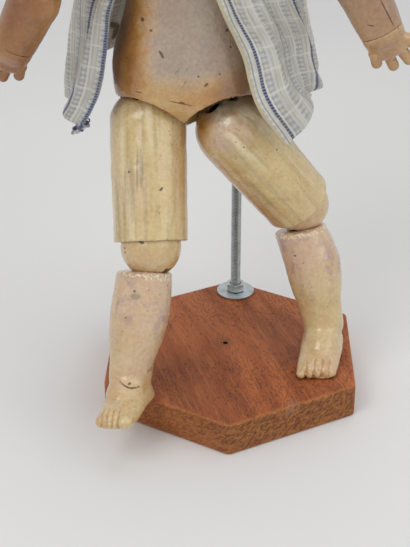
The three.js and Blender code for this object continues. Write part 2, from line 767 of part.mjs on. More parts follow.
// Head: bisque shell with an open crown, eye openings and a ball-ended neck
function headShell() {
  let shell = toSolid(headForm(0, true, headFacets, headRings));
  const neck = disc(neckBallRadius - 1, 0, 24).translate(neckCentre.x, neckCentre.y, neckCentre.z);
  shell = join(shell, toSolid(ball(neckBallRadius, neckCentre, limbFacets)), toSolid(neck));
  const crown = new THREE.BoxGeometry(headWidth * 2, headDepth * 2, headHeight);
  crown.rotateX(-0.3).translate(headMiddle.x, headMiddle.y, headMiddle.z + crownCut + headHeight / 2 + 6);
  const hollow = toSolid(headForm(-headWall, false, cutFacets, 9));
  const throat = disc(limbBore + 6, -4, 40, smallFacets).translate(neckCentre.x, neckCentre.y, neckCentre.z);
  const hookHole = disc(limbBore - 3, -30, 5, 8).translate(neckCentre.x, neckCentre.y, neckCentre.z);
  shell = cut(shell, toSolid(crown), hollow, toSolid(throat), toSolid(hookHole));
  for (const sign of [1, -1]) {
    const centre = eyeCentre(sign);
    const socket = toSolid(ballRoom(eyeRadius + run, centre, smallFacets));
    const opening = new THREE.SphereGeometry(1, smallFacets, 6).scale(eyeSlotWidth / 2, 16, eyeSlotHeight / 2);
    opening.translate(centre.x, centre.y - 6, centre.z);
    shell = cut(shell, socket, toSolid(opening));
  }
  return toGeometry(shell);
}

// Pate: a card cap over the crown opening, and the wig over the whole scalp
function scalpLayer(inner, outer, keep) {
  const form = (grow) => toSolid(headForm(grow, false, headFacets, headRings));
  return cut(form(outer), form(inner)).intersect(keep);
}

function crownBox(below, tilt, grow) {
  const box = new THREE.BoxGeometry(headWidth * 2, headDepth * 2, headHeight);
  box.rotateX(tilt);
  box.translate(headMiddle.x, headMiddle.y, headMiddle.z + crownCut + headHeight / 2 + 6 - below + grow);
  return toSolid(box);
}

function pate() {
  return toGeometry(scalpLayer(fit, 1.6, crownBox(4, -0.3, 0)));
}

// Wig: a short bob that covers the back and sides and leaves the face free
function wig() {
  const grow = 1.6 + fit;
  const aboveNape = new THREE.BoxGeometry(headWidth * 3, headDepth * 3, headHeight * 0.98);
  aboveNape.translate(headMiddle.x, headMiddle.y, headMiddle.z + headHeight * 0.16);
  const whole = scalpLayer(grow, grow + wigThick, toSolid(aboveNape));
  const face = new THREE.SphereGeometry(1, cutFacets, 8);
  face.scale(headWidth * 0.39, headDepth * 0.67, headHeight * 0.4);
  face.translate(headMiddle.x, headMiddle.y - headDepth * 0.645, headMiddle.z - headHeight * 0.115);
  const jaw = new THREE.BoxGeometry(headWidth * 2.5, headDepth * 1.1, headHeight * 0.77);
  jaw.translate(headMiddle.x, headMiddle.y - headDepth * 0.69, headMiddle.z - headHeight / 2);
  return toGeometry(cut(whole, toSolid(face), toSolid(jaw)));
}

function eye(sign) {
  return ball(eyeRadius, eyeCentre(sign), smallFacets);
}

// Rocker: wire bail behind the eyes with a lead weight below
const weightDrop = 34;
function eyeWire() {
  const left = eyeCentre(1);
  const right = eyeCentre(-1);
  const behind = eyeRadius + fit + 1.2;
  const points = [
    vec(left.x, left.y + behind, left.z),
    vec((left.x + right.x) / 2, left.y + behind + 2.5, left.z),
    vec(right.x, right.y + behind, right.z),
  ];
  const cross = toSolid(bar(points, 1.1, 6, 6));
  const stem = straightBar(points[1], vec(points[1].x, points[1].y + 2, left.z - weightDrop + 7), 1.1);
  return toGeometry(join(cross, toSolid(stem)));
}

function eyeWeight() {
  const middle = eyeCentre(1);
  const centre = vec(headMiddle.x, middle.y + eyeRadius + 7.3, middle.z - weightDrop);
  return ball(6.5, centre, 10);
}

// Elastic and hooks inside the body

function neckButton() {
  const outline = [[1.9, -2], [11.5, -2], [11.5, 1.5], ...arc(11.5, 1.5, 10, 78, 4), [1.9, 12.8], [1.9, -2]];
  const seat = neckCentre.z - 4 + 2 + fit;
  return toGeometry(toSolid(turned(outline, smallFacets))).translate(neckCentre.x, neckCentre.y, seat);
}

function neckHook() {
  const top = neckCentre.z + 13.5;
  const shank = disc(hookWire, hookMiddle.z + hookLoop - 1, top, 8);
  const loop = new THREE.TorusGeometry(hookLoop, hookWire, 6, 14).rotateY(Math.PI / 2);
  loop.translate(0, 0, hookMiddle.z);
  const head = disc(4.2, top - 1, top + 1, 12);
  return toGeometry(join(toSolid(shank), toSolid(loop), toSolid(head))).translate(dollX, torsoSetBack, 0);
}

// Round elastic between two points, with rounded ends
function elastic(from, to) {
  const length = from.distanceTo(to);
  const cord = new THREE.CapsuleGeometry(elasticRadius, length, 1, 7).rotateX(Math.PI / 2);
  const way = to.clone().sub(from).normalize();
  return placed(cord, from.clone().add(to).multiplyScalar(0.5), new THREE.Quaternion()
    .setFromUnitVectors(vec(0, 0, -1), way));
}

// Elastic of the legs: from one hip over the neck hook to the other hip
function legElastic() {
  const wireZ = hookMiddle.z - hookLoop;
  const bend = hookWire + elasticRadius + fit;
  const over = arc(bend, wireZ, 0, 180, 8).map(([x, z]) => vec(dollX + x, torsoSetBack, z));
  let cord = toSolid(bar(over, elasticRadius, 8, 8));
  for (const side of [sides.left, sides.right]) {
    const end = vec(dollX + side.sign * bend, torsoSetBack, wireZ);
    cord = join(cord, toSolid(elastic(side.hip, end)));
  }
  return toGeometry(cord);
}

function armElastic() {
  return elastic(sides.left.shoulder, sides.right.shoulder);
}

// Elastic inside a limb: it starts just below the end of the elastic above it
function limbElastic(length) {
  return elastic(vec(0, 0, -2 * elasticRadius - fit), vec(0, 0, -length));
}

// Anchor of the leg's elastic: a ring on a crossbar through the limb
function anchor(length) {
  const wire = 0.9;
  const ringRadius = 3.4;
  const ringZ = -length - elasticRadius - fit - wire - ringRadius;
  const ring = new THREE.TorusGeometry(ringRadius, wire, 6, 10).rotateX(Math.PI / 2);
  const pinZ = ringZ - ringRadius;
  const pin = straightBar(vec(-limbBore - 0.7, 0, pinZ), vec(limbBore + 0.7, 0, pinZ), wire);
  return toGeometry(join(toSolid(ring.translate(0, 0, ringZ)), toSolid(pin)));
}

// Hook of the arm's elastic: a ring with a shank that sits in the hand's wrist ball
function wristHook() {
  const wire = 0.8;
  const ring = new THREE.TorusGeometry(wristRing, wire, 6, 10).rotateX(Math.PI / 2);
  const shank = disc(wire, -wristShank, wristBallRadius + 1, 6);
  return toGeometry(join(toSolid(ring.translate(0, 0, wristBallRadius + wristRing + 1.2)), toSolid(shank)));
}

// Waist clip: an open band round the back of the torso with an arm to the rod
const clipZ = hipHeight + clipHeightAboveHips;

function waistClip() {
  const [halfWidth, front, back] = torsoAt(clipHeightAboveHips);
  const outline = (gap) => {
    const points = [];
    const open = THREE.MathUtils.degToRad(clipOpenAngle / 2);
    const steps = 20;
    for (let i = 0; i <= steps; i += 1) {
      const angle = -Math.PI / 2 + open + ((2 * Math.PI - 2 * open) * i) / steps;
      const c = Math.cos(angle);
      const s = Math.sin(angle);
      const r = sectionRadius(c, s, halfWidth, front, back, torsoSquareness) + gap;
      points.push(new THREE.Vector2(dollX + c * r, torsoSetBack + s * r));
    }
    return points;
  };
  const inner = outline(clipGap);
  const outer = outline(clipGap + clipThick);
  const shape = new THREE.Shape([...outer, ...inner.reverse()]);
  const band = new THREE.ExtrudeGeometry(shape, { depth: clipWidth, bevelEnabled: false, steps: 1 });
  band.translate(0, 0, clipZ - clipWidth / 2);
  const from = vec(dollX + 3, torsoSetBack + back + clipGap + clipThick, clipZ);
  const to = vec(rodX, rodY, clipZ);
  const length = Math.hypot(to.x - from.x, to.y - from.y);
  const arm = new THREE.BoxGeometry(length, clipWidth, clipThick);
  arm.rotateZ(Math.atan2(to.y - from.y, to.x - from.x));
  arm.translate((from.x + to.x) / 2, (from.y + to.y) / 2, clipZ);
  const pad = disc(clipWasherRadius, clipZ - clipThick / 2, clipZ + clipThick / 2);
  const hole = discRoom(rodRadius + fit, clipZ - 5, clipZ + 5);
  const solid = join(toSolid(band), toSolid(arm), toSolid(pad.translate(rodX, rodY, 0)));
  return toGeometry(cut(solid, toSolid(hole.translate(rodX, rodY, 0))));
}

// Shirt, hung open from the shoulders. Rows of [share of the way down, height above the hips
// before the torso's stretch, half width, front depth, back depth, right edge angle, left edge
// angle, fold height]
const shirtRows = [
  [0, 165.5, 26.3, 23.5, 24.0, 26, 26, 0],
  [0.07, 161, 29.4, 23.9, 24.9, 29, 24, 0],
  [0.13, 156, 35.3, 26.3, 27.9, 32, 21, 0],
  [0.19, 150.5, 42.9, 30.9, 37, 35, 17, 0.5],
  [0.28, 139, 58, 40, 72, 40, 12, 1.2],
  [0.4, 117, 66, 45, 105, 46, 14, 1.6],
  [0.54, 90, 73, 47, 108, 54, 25, 2.2],
  [0.68, 62, 78, 49, 108, 57, 38, 2.8],
  [0.84, 28, 83, 53, 108, 61, 46, 3.4],
  [1, -1, 85, 56, 108, 72, 62, 3.8],
];
const shirtAt = through(shirtRows);
const shirtFolds = 11;
const shirtHemRise = 30; // how much higher the hem is at the back

function shirtPoint(across, down) {
  const [height, halfWidth, front, back, rightEdge, leftEdge, fold] = shirtAt(down);
  const from = THREE.MathUtils.degToRad(rightEdge);
  const to = THREE.MathUtils.degToRad(360 - leftEdge);
  const angle = from + (to - from) * across;
  const [c, s] = [-Math.sin(angle), -Math.cos(angle)];
  const pleat = fold * Math.sin(across * shirtFolds * 2 * Math.PI + 1.3 * Math.sin(down * 5));
  const sway = Math.min(1, Math.max(0, (down - 0.1) / 0.2));
  const squareness = torsoSquareness + ((s > 0 ? 2.4 : 2) - torsoSquareness) * sway;
  const r = sectionRadius(c, s, halfWidth, front, back, squareness) + pleat;
  const behind = Math.max(0, -Math.cos(angle)) ** 1.5 + 0.15 * Math.abs(c);
  const lift = shirtHemRise * behind * down ** 3;
  const middleX = dollX + 1.5 * sway;
  const middleY = torsoSetBack - 3 * sway;
  return vec(middleX + c * r, middleY + s * r, hipHeight + height * torsoStretch + lift);
}

function shirtSheet() {
  const sheet = new THREE.BoxGeometry(1, 1, 1, 38, 11, 1);
  const step = 0.004;
  return reshape(sheet, (p) => {
    const across = p.x + 0.5;
    const down = 0.5 - p.y;
    const here = shirtPoint(across, down);
    const along = shirtPoint(across + step, down).sub(shirtPoint(across - step, down));
    const low = Math.max(down - step, 0);
    const high = Math.min(down + step, 1);
    const fall = shirtPoint(across, high).sub(shirtPoint(across, low));
    const outward = fall.cross(along).normalize();
    return here.addScaledVector(outward, p.z * clothThick);
  });
}

function shirt() {
  let cloth = toSolid(shirtSheet());
  for (const side of Object.values(sides)) {
    const length = upperArmLength + 40;
    const room = disc(armholeRadius, -length, 0, smallFacets);
    const at = side.shoulder.clone();
    cloth = cut(cloth, toSolid(ball(armholeRadius, at, smallFacets)));
    cloth = cut(cloth, toSolid(placed(room, at, limbTurn(side.upperArmWay, vec(0, -1, 0.01)))));
  }
  return toGeometry(cloth);
}

// Assembly
const dollWithStand = new THREE.Group();

function stand() {
  const group = new THREE.Group();
  const underTop = recessDepth - fit;
  group.add(piece('stand_base', baseBoard(), 'wood'));
  const rodLow = recessDepth - washerThick - 2 * fit - nutThick - 3;
  const rod = disc(rodRadius, rodLow, clipZ + rodTopAboveClip, 28).translate(rodX, rodY, 0);
  group.add(piece('stand_rod', rod, 'zinc'));
  const washerZ = baseThick + fit;
  group.add(piece('base_washer', washer(washerZ, washerRadius, washerThick), 'zinc'));
  group.add(piece('base_nut', nut(washerZ + washerThick + fit), 'zinc'));
  const underWasher = underTop - washerThick;
  group.add(piece('under_washer', washer(underWasher, washerRadius, washerThick), 'zinc'));
  group.add(piece('under_nut', nut(underWasher - fit - nutThick), 'zinc'));
  group.add(piece('waist_clip', waistClip(), 'zinc'));
  const lowWasher = clipZ - clipThick / 2 - fit - clipWasherThick;
  group.add(piece('clip_washer', washer(lowWasher, clipWasherRadius, clipWasherThick), 'zinc'));
  group.add(piece('clip_lower_nut', nut(lowWasher - fit - nutThick), 'zinc'));
  group.add(piece('clip_upper_nut', nut(clipZ + clipThick / 2 + fit), 'zinc'));
  return group;
}

function body() {
  const group = new THREE.Group();
  group.add(piece('torso', torsoShell(), 'skin'));
  group.add(piece('neck_hook', neckHook(), 'wire'));
  group.add(piece('leg_elastic', legElastic(), 'elastic'));
  group.add(piece('arm_elastic', armElastic(), 'elastic'));
  group.add(piece('shirt', shirt(), 'cloth'));
  return group;
}

function head() {
  const group = new THREE.Group();
  group.add(piece('head', headShell(), 'bisque'));
  group.add(piece('neck_button', neckButton(), 'turnedWood'));
  group.add(piece('pate', pate(), 'card'));
  group.add(piece('wig', wig(), 'hair'));
  group.add(piece('eye_left', eye(1), 'glass'));
  group.add(piece('eye_right', eye(-1), 'glass'));
  group.add(piece('eye_wire', eyeWire(), 'wire'));
  group.add(piece('eye_weight', eyeWeight(), 'lead'));
  return group;
}

// Places a group of pieces at a joint, turned along its limb
function limbGroup(at, way, front, pieces) {
  const group = new THREE.Group();
  group.position.copy(at);
  group.quaternion.copy(limbTurn(way, front));
  group.add(...pieces);
  return group;
}

// The bend of a joint lies in the plane of its two limbs, and its ball's slot lies there too
function ballFront(way, nextWay) {
  const front = nextWay.clone().addScaledVector(way, -nextWay.dot(way));
  return front.lengthSq() > 1e-6 ? front : forward.clone();
}

function leg(name) {
  const side = sides[name];
  const shinElastic = shinLength * 0.56;
  const bend = side.thighWay.angleTo(side.shinWay) * THREE.MathUtils.RAD2DEG;
  const knee = jointBall(kneeBallRadius, vec(0, 0, 1), Math.min(-12, bend - 45), bend + 32);
  return [
    limbGroup(side.hip, side.thighWay, forward, [
      piece(`thigh_${name}`, thighShell(side, name), 'skin'),
      piece(`thigh_elastic_${name}`, limbElastic(thighLength), 'elastic'),
    ]),
    limbGroup(side.knee, side.thighWay, ballFront(side.thighWay, side.shinWay), [
      piece(`knee_ball_${name}`, knee, 'skin'),
    ]),
    limbGroup(side.knee, side.shinWay, side.footWay, [
      piece(`lower_leg_${name}`, lowerLeg(side.sign), 'skin'),
      piece(`shin_elastic_${name}`, limbElastic(shinElastic), 'elastic'),
      piece(`leg_anchor_${name}`, anchor(shinElastic), 'wire'),
    ]),
  ];
}

function arm(name) {
  const side = sides[name];
  const outward = vec(side.sign, 0, 0);
  const inward = outward.clone().negate();
  const shoulderTurn = limbTurn(side.upperArmWay, outward);
  const pull = inward.applyQuaternion(shoulderTurn.invert());
  const bend = side.upperArmWay.angleTo(side.forearmWay) * THREE.MathUtils.RAD2DEG;
  return [
    limbGroup(side.shoulder, side.upperArmWay, outward, [
      piece(`shoulder_ball_${name}`, jointBall(shoulderBallRadius, pull, -25, 40), 'skin'),
    ]),
    limbGroup(side.shoulder, side.upperArmWay, forward, [
      piece(`upper_arm_${name}`, upperArmShell(), 'skin'),
      piece(`upper_arm_elastic_${name}`, limbElastic(upperArmLength), 'elastic'),
    ]),
    limbGroup(side.elbow, side.upperArmWay, ballFront(side.upperArmWay, side.forearmWay), [
      piece(`elbow_ball_${name}`, jointBall(elbowBallRadius, vec(0, 0, 1), 0, bend + 6), 'skin'),
    ]),
    limbGroup(side.elbow, side.forearmWay, forward, [
      piece(`forearm_${name}`, forearmShell(), 'skin'),
      piece(`forearm_elastic_${name}`, limbElastic(forearmElastic), 'elastic'),
    ]),
    limbGroup(side.wrist, side.forearmWay, forward, [
      piece(`hand_${name}`, hand(side.sign), 'skin'),
      piece(`wrist_hook_${name}`, wristHook(), 'wire'),
    ]),
  ];
}

dollWithStand.add(stand(), body(), head());
for (const name of ['left', 'right']) {
  dollWithStand.add(...leg(name), ...arm(name));
}

export default dollWithStand;
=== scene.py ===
"""A ball-jointed composition doll with a bisque head, in an open checked shirt, held by a clip on a
threaded rod that stands in a hexagonal wooden base.

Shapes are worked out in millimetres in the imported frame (+Z up, the doll faces -Y, its own left
side is +X) and put into the meshes in metres.
"""

import json

import bpy
import numpy as np
from bpy.props import FloatProperty, FloatVectorProperty, IntProperty, PointerProperty
from bpy.types import Operator, Panel, PropertyGroup
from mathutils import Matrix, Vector

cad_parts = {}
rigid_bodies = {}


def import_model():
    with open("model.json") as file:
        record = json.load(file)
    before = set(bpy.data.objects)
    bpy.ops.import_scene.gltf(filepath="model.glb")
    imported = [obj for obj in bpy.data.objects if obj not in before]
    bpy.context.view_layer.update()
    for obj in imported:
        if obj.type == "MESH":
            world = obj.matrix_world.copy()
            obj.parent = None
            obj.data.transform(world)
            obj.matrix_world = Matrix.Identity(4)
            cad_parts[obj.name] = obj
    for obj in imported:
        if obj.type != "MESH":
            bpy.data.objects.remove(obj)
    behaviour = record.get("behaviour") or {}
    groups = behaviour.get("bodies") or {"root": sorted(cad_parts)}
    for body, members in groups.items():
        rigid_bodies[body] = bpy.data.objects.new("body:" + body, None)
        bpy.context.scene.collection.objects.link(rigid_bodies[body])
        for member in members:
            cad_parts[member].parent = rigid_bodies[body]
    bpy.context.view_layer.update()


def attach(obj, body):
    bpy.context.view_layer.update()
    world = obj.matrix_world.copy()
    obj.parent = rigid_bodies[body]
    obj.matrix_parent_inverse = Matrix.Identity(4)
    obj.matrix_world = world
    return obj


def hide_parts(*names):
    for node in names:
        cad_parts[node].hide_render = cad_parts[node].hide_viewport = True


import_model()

bl_info = {
    "name": "Composition doll on a stand",
    "version": (1, 0, 0),
    "blender": (4, 5, 0),
    "location": "View3D > Sidebar > Doll",
    "description": "Builds a jointed doll, its shirt and its stand round a fixed frame",
    "category": "Object",
}

MM = 0.001


def vec(x, y, z):
    """Three numbers as a vector."""
    return np.array([x, y, z], float)


def unit(v):
    """The vector divided by its length."""
    return v / np.linalg.norm(v)


# Sizes in millimetres and angles in degrees, the same as those of the solids in the frame
FIT = 0.35
RUN = 0.4
BASE_RADIUS, BASE_THICK, BASE_EDGE = 105, 25, 2.2
PLUG_HOLE_RADIUS, PLUG_HOLE_DEPTH, PLUG_HOLE = 1.6, 9, (-4, 5)
ROD_RADIUS, ROD = 4, (3, 86)
WASHER_RADIUS, WASHER_THICK = 15, 1.6
NUT_ACROSS, NUT_THICK = 13, 6.5
RECESS_RADIUS, RECESS_DEPTH = 17, 13
CLIP_ABOVE_HIPS, CLIP_WIDTH, CLIP_THICK, CLIP_OPEN, CLIP_GAP = 100, 11, 1.6, 100, 1.2
CLIP_WASHER_RADIUS, CLIP_WASHER_THICK, ROD_ABOVE_CLIP = 8, 1.2, 10
DOLL_X, TORSO_BACK, WALL = -30.1, 6, 3.6
HIP_SPACING, HIP_FORWARD = 57, 4
THIGH_LENGTH, THIGH_RADIUS, THIGH_RIM = 84.6, 26.5, 25.4
SLOT_WIDTH = 7.6
HIP_SWING = {"left": 20, "right": 38}
KNEE_RADIUS, KNEE_OUT = 21, 3.5
SHIN_LENGTH, SHIN_RIM_DROP, SHIN_RIM = 91.5, 17.7, 19
CALF_RADIUS, ANKLE_RADIUS, ANKLE_HEIGHT = 20.6, 14.6, 22.5
FOOT_LENGTH, FOOT_WIDTH, HEEL_BACK = 61, 30, 15
RIM_TILT = {"left": 0, "right": 0.14}
RIM_SHIFT = {"left": -3.4, "right": 1.6}
ELASTIC_RADIUS, LIMB_BORE, BALL_BORE = 1.5, 6.5, 3.6
MOUTH_RADIUS = 30
SHOULDER_SPACING, SHOULDER_HEIGHT, SHOULDER_RADIUS = 94, 138, 16
UPPER_ARM_LENGTH, UPPER_ARM_RADIUS, ARM_RIM_DROP = 68, 17, 9
ELBOW_RADIUS, ELBOW_OUT, ELBOW_RIM = 13.5, 8, 12.4
FOREARM_LENGTH, FOREARM_RIM_DROP, FOREARM_RADIUS = 60, 10, 17
WRIST_RIM, WRIST_RADIUS, WRIST_SHANK = 14, 9, 5
PALM_WIDTH, PALM_THICK = 31, 12
FINGER_RADIUS, FINGER_LENGTH = 3.7, 7
NECK_HEIGHT, NECK_RADIUS, NECK_HOLE = 167, 20, 11
HEAD_WIDTH, HEAD_DEPTH, HEAD_HEIGHT, HEAD_WALL, CROWN_CUT = 80, 90, 104, 4, 27
EYE_RADIUS, EYE_SPACING, EYE_SLOT_WIDTH, EYE_SLOT_HEIGHT = 9, 30, 15, 9
WIG_THICK, WIG_INSIDE = 7, 1.95
WIG_LAYER = WIG_THICK - 1.6
NAPE = HEAD_HEIGHT * -0.325
SCALP_END = HEAD_HEIGHT / 2 - 0.5
ARMHOLE_RADIUS = 22.5

THIGH_WAY = {"right": unit(vec(0.039, -0.472, -0.88)), "left": unit(vec(0.579, 0.25, -0.776))}
SHIN_WAY = {"right": unit(vec(-0.157, -0.369, -0.915)), "left": unit(vec(0.212, -0.234, -0.949))}
FOOT_WAY = {"right": vec(-0.27, -1, 0.3), "left": vec(-0.13, -1, 0)}
UPPER_ARM_WAY = {"right": unit(vec(-0.53, -0.81, -0.24)), "left": unit(vec(0.735, -0.67, -0.09))}
FOREARM_WAY = {"right": unit(vec(-0.46, 0.05, -0.887)), "left": unit(vec(0.46, -0.07, -0.886))}
SITTING_WAY = {"right": unit(vec(-0.6, -0.75, -0.28)), "left": unit(vec(0.68, -0.68, -0.28))}
MOUTH = {"right": vec(-5, -6, -4), "left": vec(0, -10, 4)}
MOUTH_EDGE = {"right": vec(3.5, -5, 1.5), "left": vec(-5, -3, 4)}
LEFT_SAG = vec(2.1, 4, -5.3)
SIGN = {"left": 1, "right": -1}
FORWARD = vec(0, -1, 0)
SIDES = ("left", "right")

HIP_HEIGHT = (BASE_THICK + FIT + ANKLE_HEIGHT - SHIN_LENGTH * SHIN_WAY["left"][2]
              - THIGH_LENGTH * THIGH_WAY["left"][2] - LEFT_SAG[2])


def joint_centres(name):
    """Centres of one side's joints: each is the one before it plus the limb's way times its length."""
    sign = SIGN[name]
    hip = vec(DOLL_X + sign * HIP_SPACING / 2, -HIP_FORWARD, HIP_HEIGHT)
    hip = hip + (LEFT_SAG if sign > 0 else 0)
    knee = hip + THIGH_WAY[name] * THIGH_LENGTH
    shoulder = vec(DOLL_X + sign * SHOULDER_SPACING / 2, 0, HIP_HEIGHT + SHOULDER_HEIGHT)
    elbow = shoulder + UPPER_ARM_WAY[name] * UPPER_ARM_LENGTH
    wrist = elbow + FOREARM_WAY[name] * FOREARM_LENGTH
    return {"hip": hip, "knee": knee, "shoulder": shoulder, "elbow": elbow, "wrist": wrist}


JOINT = {name: joint_centres(name) for name in SIDES}
HOOK = vec(DOLL_X, TORSO_BACK, HIP_HEIGHT + SHOULDER_HEIGHT + 14)
NECK = vec(DOLL_X, TORSO_BACK, HIP_HEIGHT + NECK_HEIGHT + NECK_RADIUS * 0.55)
HEAD = vec(DOLL_X, TORSO_BACK + 1, NECK[2] + 10 + HEAD_HEIGHT / 2)
CLIP_Z = HIP_HEIGHT + CLIP_ABOVE_HIPS
TORSO_AT = vec(DOLL_X, TORSO_BACK, HIP_HEIGHT)
BASE_APOTHEM = BASE_RADIUS * np.cos(np.pi / 6)
# How sharp the corners of a hexagon are, as the power in its formula
BASE_CORNERS, NUT_CORNERS = 100, 180


# Curves and surfaces

def unit_rows(vectors):
    """Each vector of an array at length 1."""
    return vectors / np.maximum(np.linalg.norm(vectors, axis=-1, keepdims=True), 1e-9)


def through(rows):
    """Smooth curve through rows of [station, values]. Between two rows it is the cubic with their
    values at its ends, and with slopes there equal to the chord between each row's neighbours."""
    table = np.array(rows, float)
    knots, values = table[:, 0], table[:, 1:]
    last = len(knots) - 1
    before = np.maximum(np.arange(last + 1) - 1, 0)
    after = np.minimum(np.arange(last + 1) + 1, last)
    slope = (values[after] - values[before]) / (knots[after] - knots[before])[:, None]

    def at(station):
        s = np.clip(np.asarray(station, float), knots[0], knots[-1])
        i = np.clip(np.searchsorted(knots, s, side="right") - 1, 0, last - 1)
        width = (knots[i + 1] - knots[i])[..., None]
        t = (s - knots[i])[..., None] / width
        h = t * t * (3 - 2 * t)
        ends = values[i] * (1 - h) + values[i + 1] * h
        ease = slope[i] * width * t * (1 - t) ** 2 + slope[i + 1] * width * t * t * (t - 1)
        return np.moveaxis(ends + ease, -1, 0)

    return at


def full_turn(count):
    """Even angles once round."""
    return np.linspace(0, 2 * np.pi, count, endpoint=False)


def rings(radius, angle, height):
    """Grid of points (r cos a, r sin a, z)."""
    return np.stack([radius * np.cos(angle), radius * np.sin(angle), height + 0 * angle], -1)


def section_radius(c, s, half_width, front, back, squareness):
    """Radius of a rounded-square section in the direction (c, s):
    (|c / half width|^n + |s / depth|^n)^(-1/n), with the front depth where s is negative."""
    depth = np.where(s < 0, front, back)
    total = np.abs(c / half_width) ** squareness + np.abs(s / depth) ** squareness
    return total ** (-1 / squareness)


def smooth(low, high, x):
    """0 below low, 1 above high, 3t^2 - 2t^3 between."""
    t = np.clip((np.asarray(x, float) - low) / (high - low), 0, 1)
    return t * t * (3 - 2 * t)


def bump(x, spread):
    """Bell curve exp(-(x / spread)^2)."""
    return np.exp(-((x / spread) ** 2))


def arc(radius, centre_z, from_deg, to_deg, steps):
    """Points of an arc about a centre on the axis: (r cos a, z + r sin a)."""
    angle = np.radians(np.linspace(from_deg, to_deg, steps + 1))
    return np.stack([radius * np.cos(angle), centre_z + radius * np.sin(angle)], -1)


def eased(corners, ease=0.8, step=1.4, ring=True):
    """Outline with each corner cut by the parabola whose ends lie `ease` from the corner (or a third
    of the side, if that is less), with points at most `step` apart on what is left of the sides."""
    p = np.array(corners, float)
    before, after = np.roll(p, 1, 0) - p, np.roll(p, -1, 0) - p
    lengths = [np.linalg.norm(side, axis=1, keepdims=True) for side in (before, after)]
    start = p + before / lengths[0] * np.minimum(ease, lengths[0] / 3)
    end = p + after / lengths[1] * np.minimum(ease, lengths[1] / 3)
    t = np.linspace(0, 1, 6)[None, :, None]
    curve = start[:, None] * (1 - t) ** 2 + 2 * p[:, None] * t * (1 - t) + end[:, None] * t * t
    if not ring:
        curve[0], curve[-1] = p[0], p[-1]
    line = curve.reshape(-1, p.shape[1])
    line = line if not ring else np.vstack([line, line[:1]])
    gaps = np.linalg.norm(np.diff(line, axis=0), axis=1)
    along = np.concatenate([[0], np.cumsum(gaps)])
    keep = np.concatenate([[True], gaps > 1e-6])
    along, line = along[keep], line[keep]
    even = np.linspace(0, along[-1], max(int(along[-1] / step), 4) + 1)
    stations = np.union1d(along, even)
    stations = stations[np.concatenate([[True], np.diff(stations) > 0.02])]
    fine = np.stack([np.interp(stations, along, line[:, k]) for k in range(p.shape[1])], -1)
    return fine[:-1] if ring else fine


def facing_out(points, quads, fans):
    """Faces turned to enclose a positive volume: the sum of a . (b x c) / 6 over the triangles."""
    corners = np.concatenate([quads[:, [0, 1, 2]], quads[:, [0, 2, 3]], fans])
    a, b, c = points[corners].transpose(1, 0, 2)
    if (a * np.cross(b, c)).sum() < 0:
        return points, quads[:, ::-1], fans[:, ::-1]
    return points, quads, fans


def shell(grid, ring=False, poles=None):
    """Closed surface from a grid [row, step, xyz]. The steps close round. The rows close on
    themselves if ring is set, and are otherwise closed by a fan to a pole at either end."""
    rows, around = grid.shape[:2]
    index = np.arange(rows * around).reshape(rows, around)
    beside = np.roll(index, -1, 1)
    if ring:
        above, above_beside = np.roll(index, -1, 0), np.roll(beside, -1, 0)
        quads = np.stack([index, beside, above_beside, above], -1).reshape(-1, 4)
        return facing_out(grid.reshape(-1, 3), quads, np.empty((0, 3), int))
    quads = np.stack([index[:-1], beside[:-1], beside[1:], index[1:]], -1).reshape(-1, 4)
    poles = grid[[0, -1]].mean(1) if poles is None else np.array(poles, float)
    low = np.stack([np.full(around, rows * around), beside[0], index[0]], -1)
    high = np.stack([np.full(around, rows * around + 1), index[-1], beside[-1]], -1)
    points = np.vstack([grid.reshape(-1, 3), poles])
    return facing_out(points, quads, np.concatenate([low, high]))


def lathe(outline, around=96):
    """Outline of [radius, height] turned round Z: (r cos t, r sin t, z). An outline whose ends lie on
    the axis has its poles there, and any other closes on itself."""
    outline = np.array(outline, float)
    capped = outline[0, 0] < 1e-6 and outline[-1, 0] < 1e-6
    body = outline[1:-1] if capped else outline
    grid = rings(body[:, :1], full_turn(around), body[:, 1:])
    poles = [(0, 0, outline[0, 1]), (0, 0, outline[-1, 1])] if capped else None
    return shell(grid, ring=not capped, poles=poles)


def ball(radius, centre=(0, 0, 0), around=64):
    """Sphere: an outline of r (cos a, sin a) turned round Z and moved to its centre."""
    outline = arc(radius, 0, -90, 90, around // 2)
    outline[[0, -1], 0] = 0
    return moved(lathe(outline, around), centre)


def tube(start, end, radius, around=32):
    """Straight round bar between two points, closed by flat ends."""
    start, end = np.array(start, float), np.array(end, float)
    long = np.linalg.norm(end - start)
    outline = [(0, 0), (radius, 0), (radius, -long), (0, -long)]
    return placed(lathe(outline, around), start, limb_turn(unit(end - start), side_of(end - start)))


def side_of(way):
    """A direction that isn't along the given one."""
    return vec(0, -1, 0.01) if abs(unit(way)[1]) < 0.9 else vec(1, 0, 0)


def sweep(path, section, ring=False):
    """Section of [across, up] points carried along a path of points, across being square to both
    the path and the vertical: point = path + across * side + up * (side x path's direction)."""
    path = np.array(path, float)
    ahead = np.roll(path, -1, 0) - np.roll(path, 1, 0) if ring else np.gradient(path, axis=0)
    ahead = unit_rows(ahead)
    side = unit_rows(np.cross(ahead, vec(0, 0, 1)))
    up = np.cross(side, ahead)
    section = np.array(section, float)
    grid = (path[:, None] + side[:, None] * section[None, :, :1]
            + up[:, None] * section[None, :, 1:])
    return shell(grid, ring=ring)


def circle(radius, count=8):
    """Points of a circle, for a round section."""
    t = full_turn(count)
    return np.stack([radius * np.cos(t), radius * np.sin(t)], -1)


def capsule(radius, length, around=28):
    """Round bar along Z with half-sphere ends, its middle at the origin."""
    low = arc(radius, -length / 2, -90, 0, 8)
    high = arc(radius, length / 2, 0, 90, 8)
    outline = np.vstack([low, high])
    outline[[0, -1], 0] = 0
    return lathe(outline, around)


# Placing

def moved(form, by):
    """Form shifted by a vector."""
    return (form[0] + np.array(by, float), *form[1:])


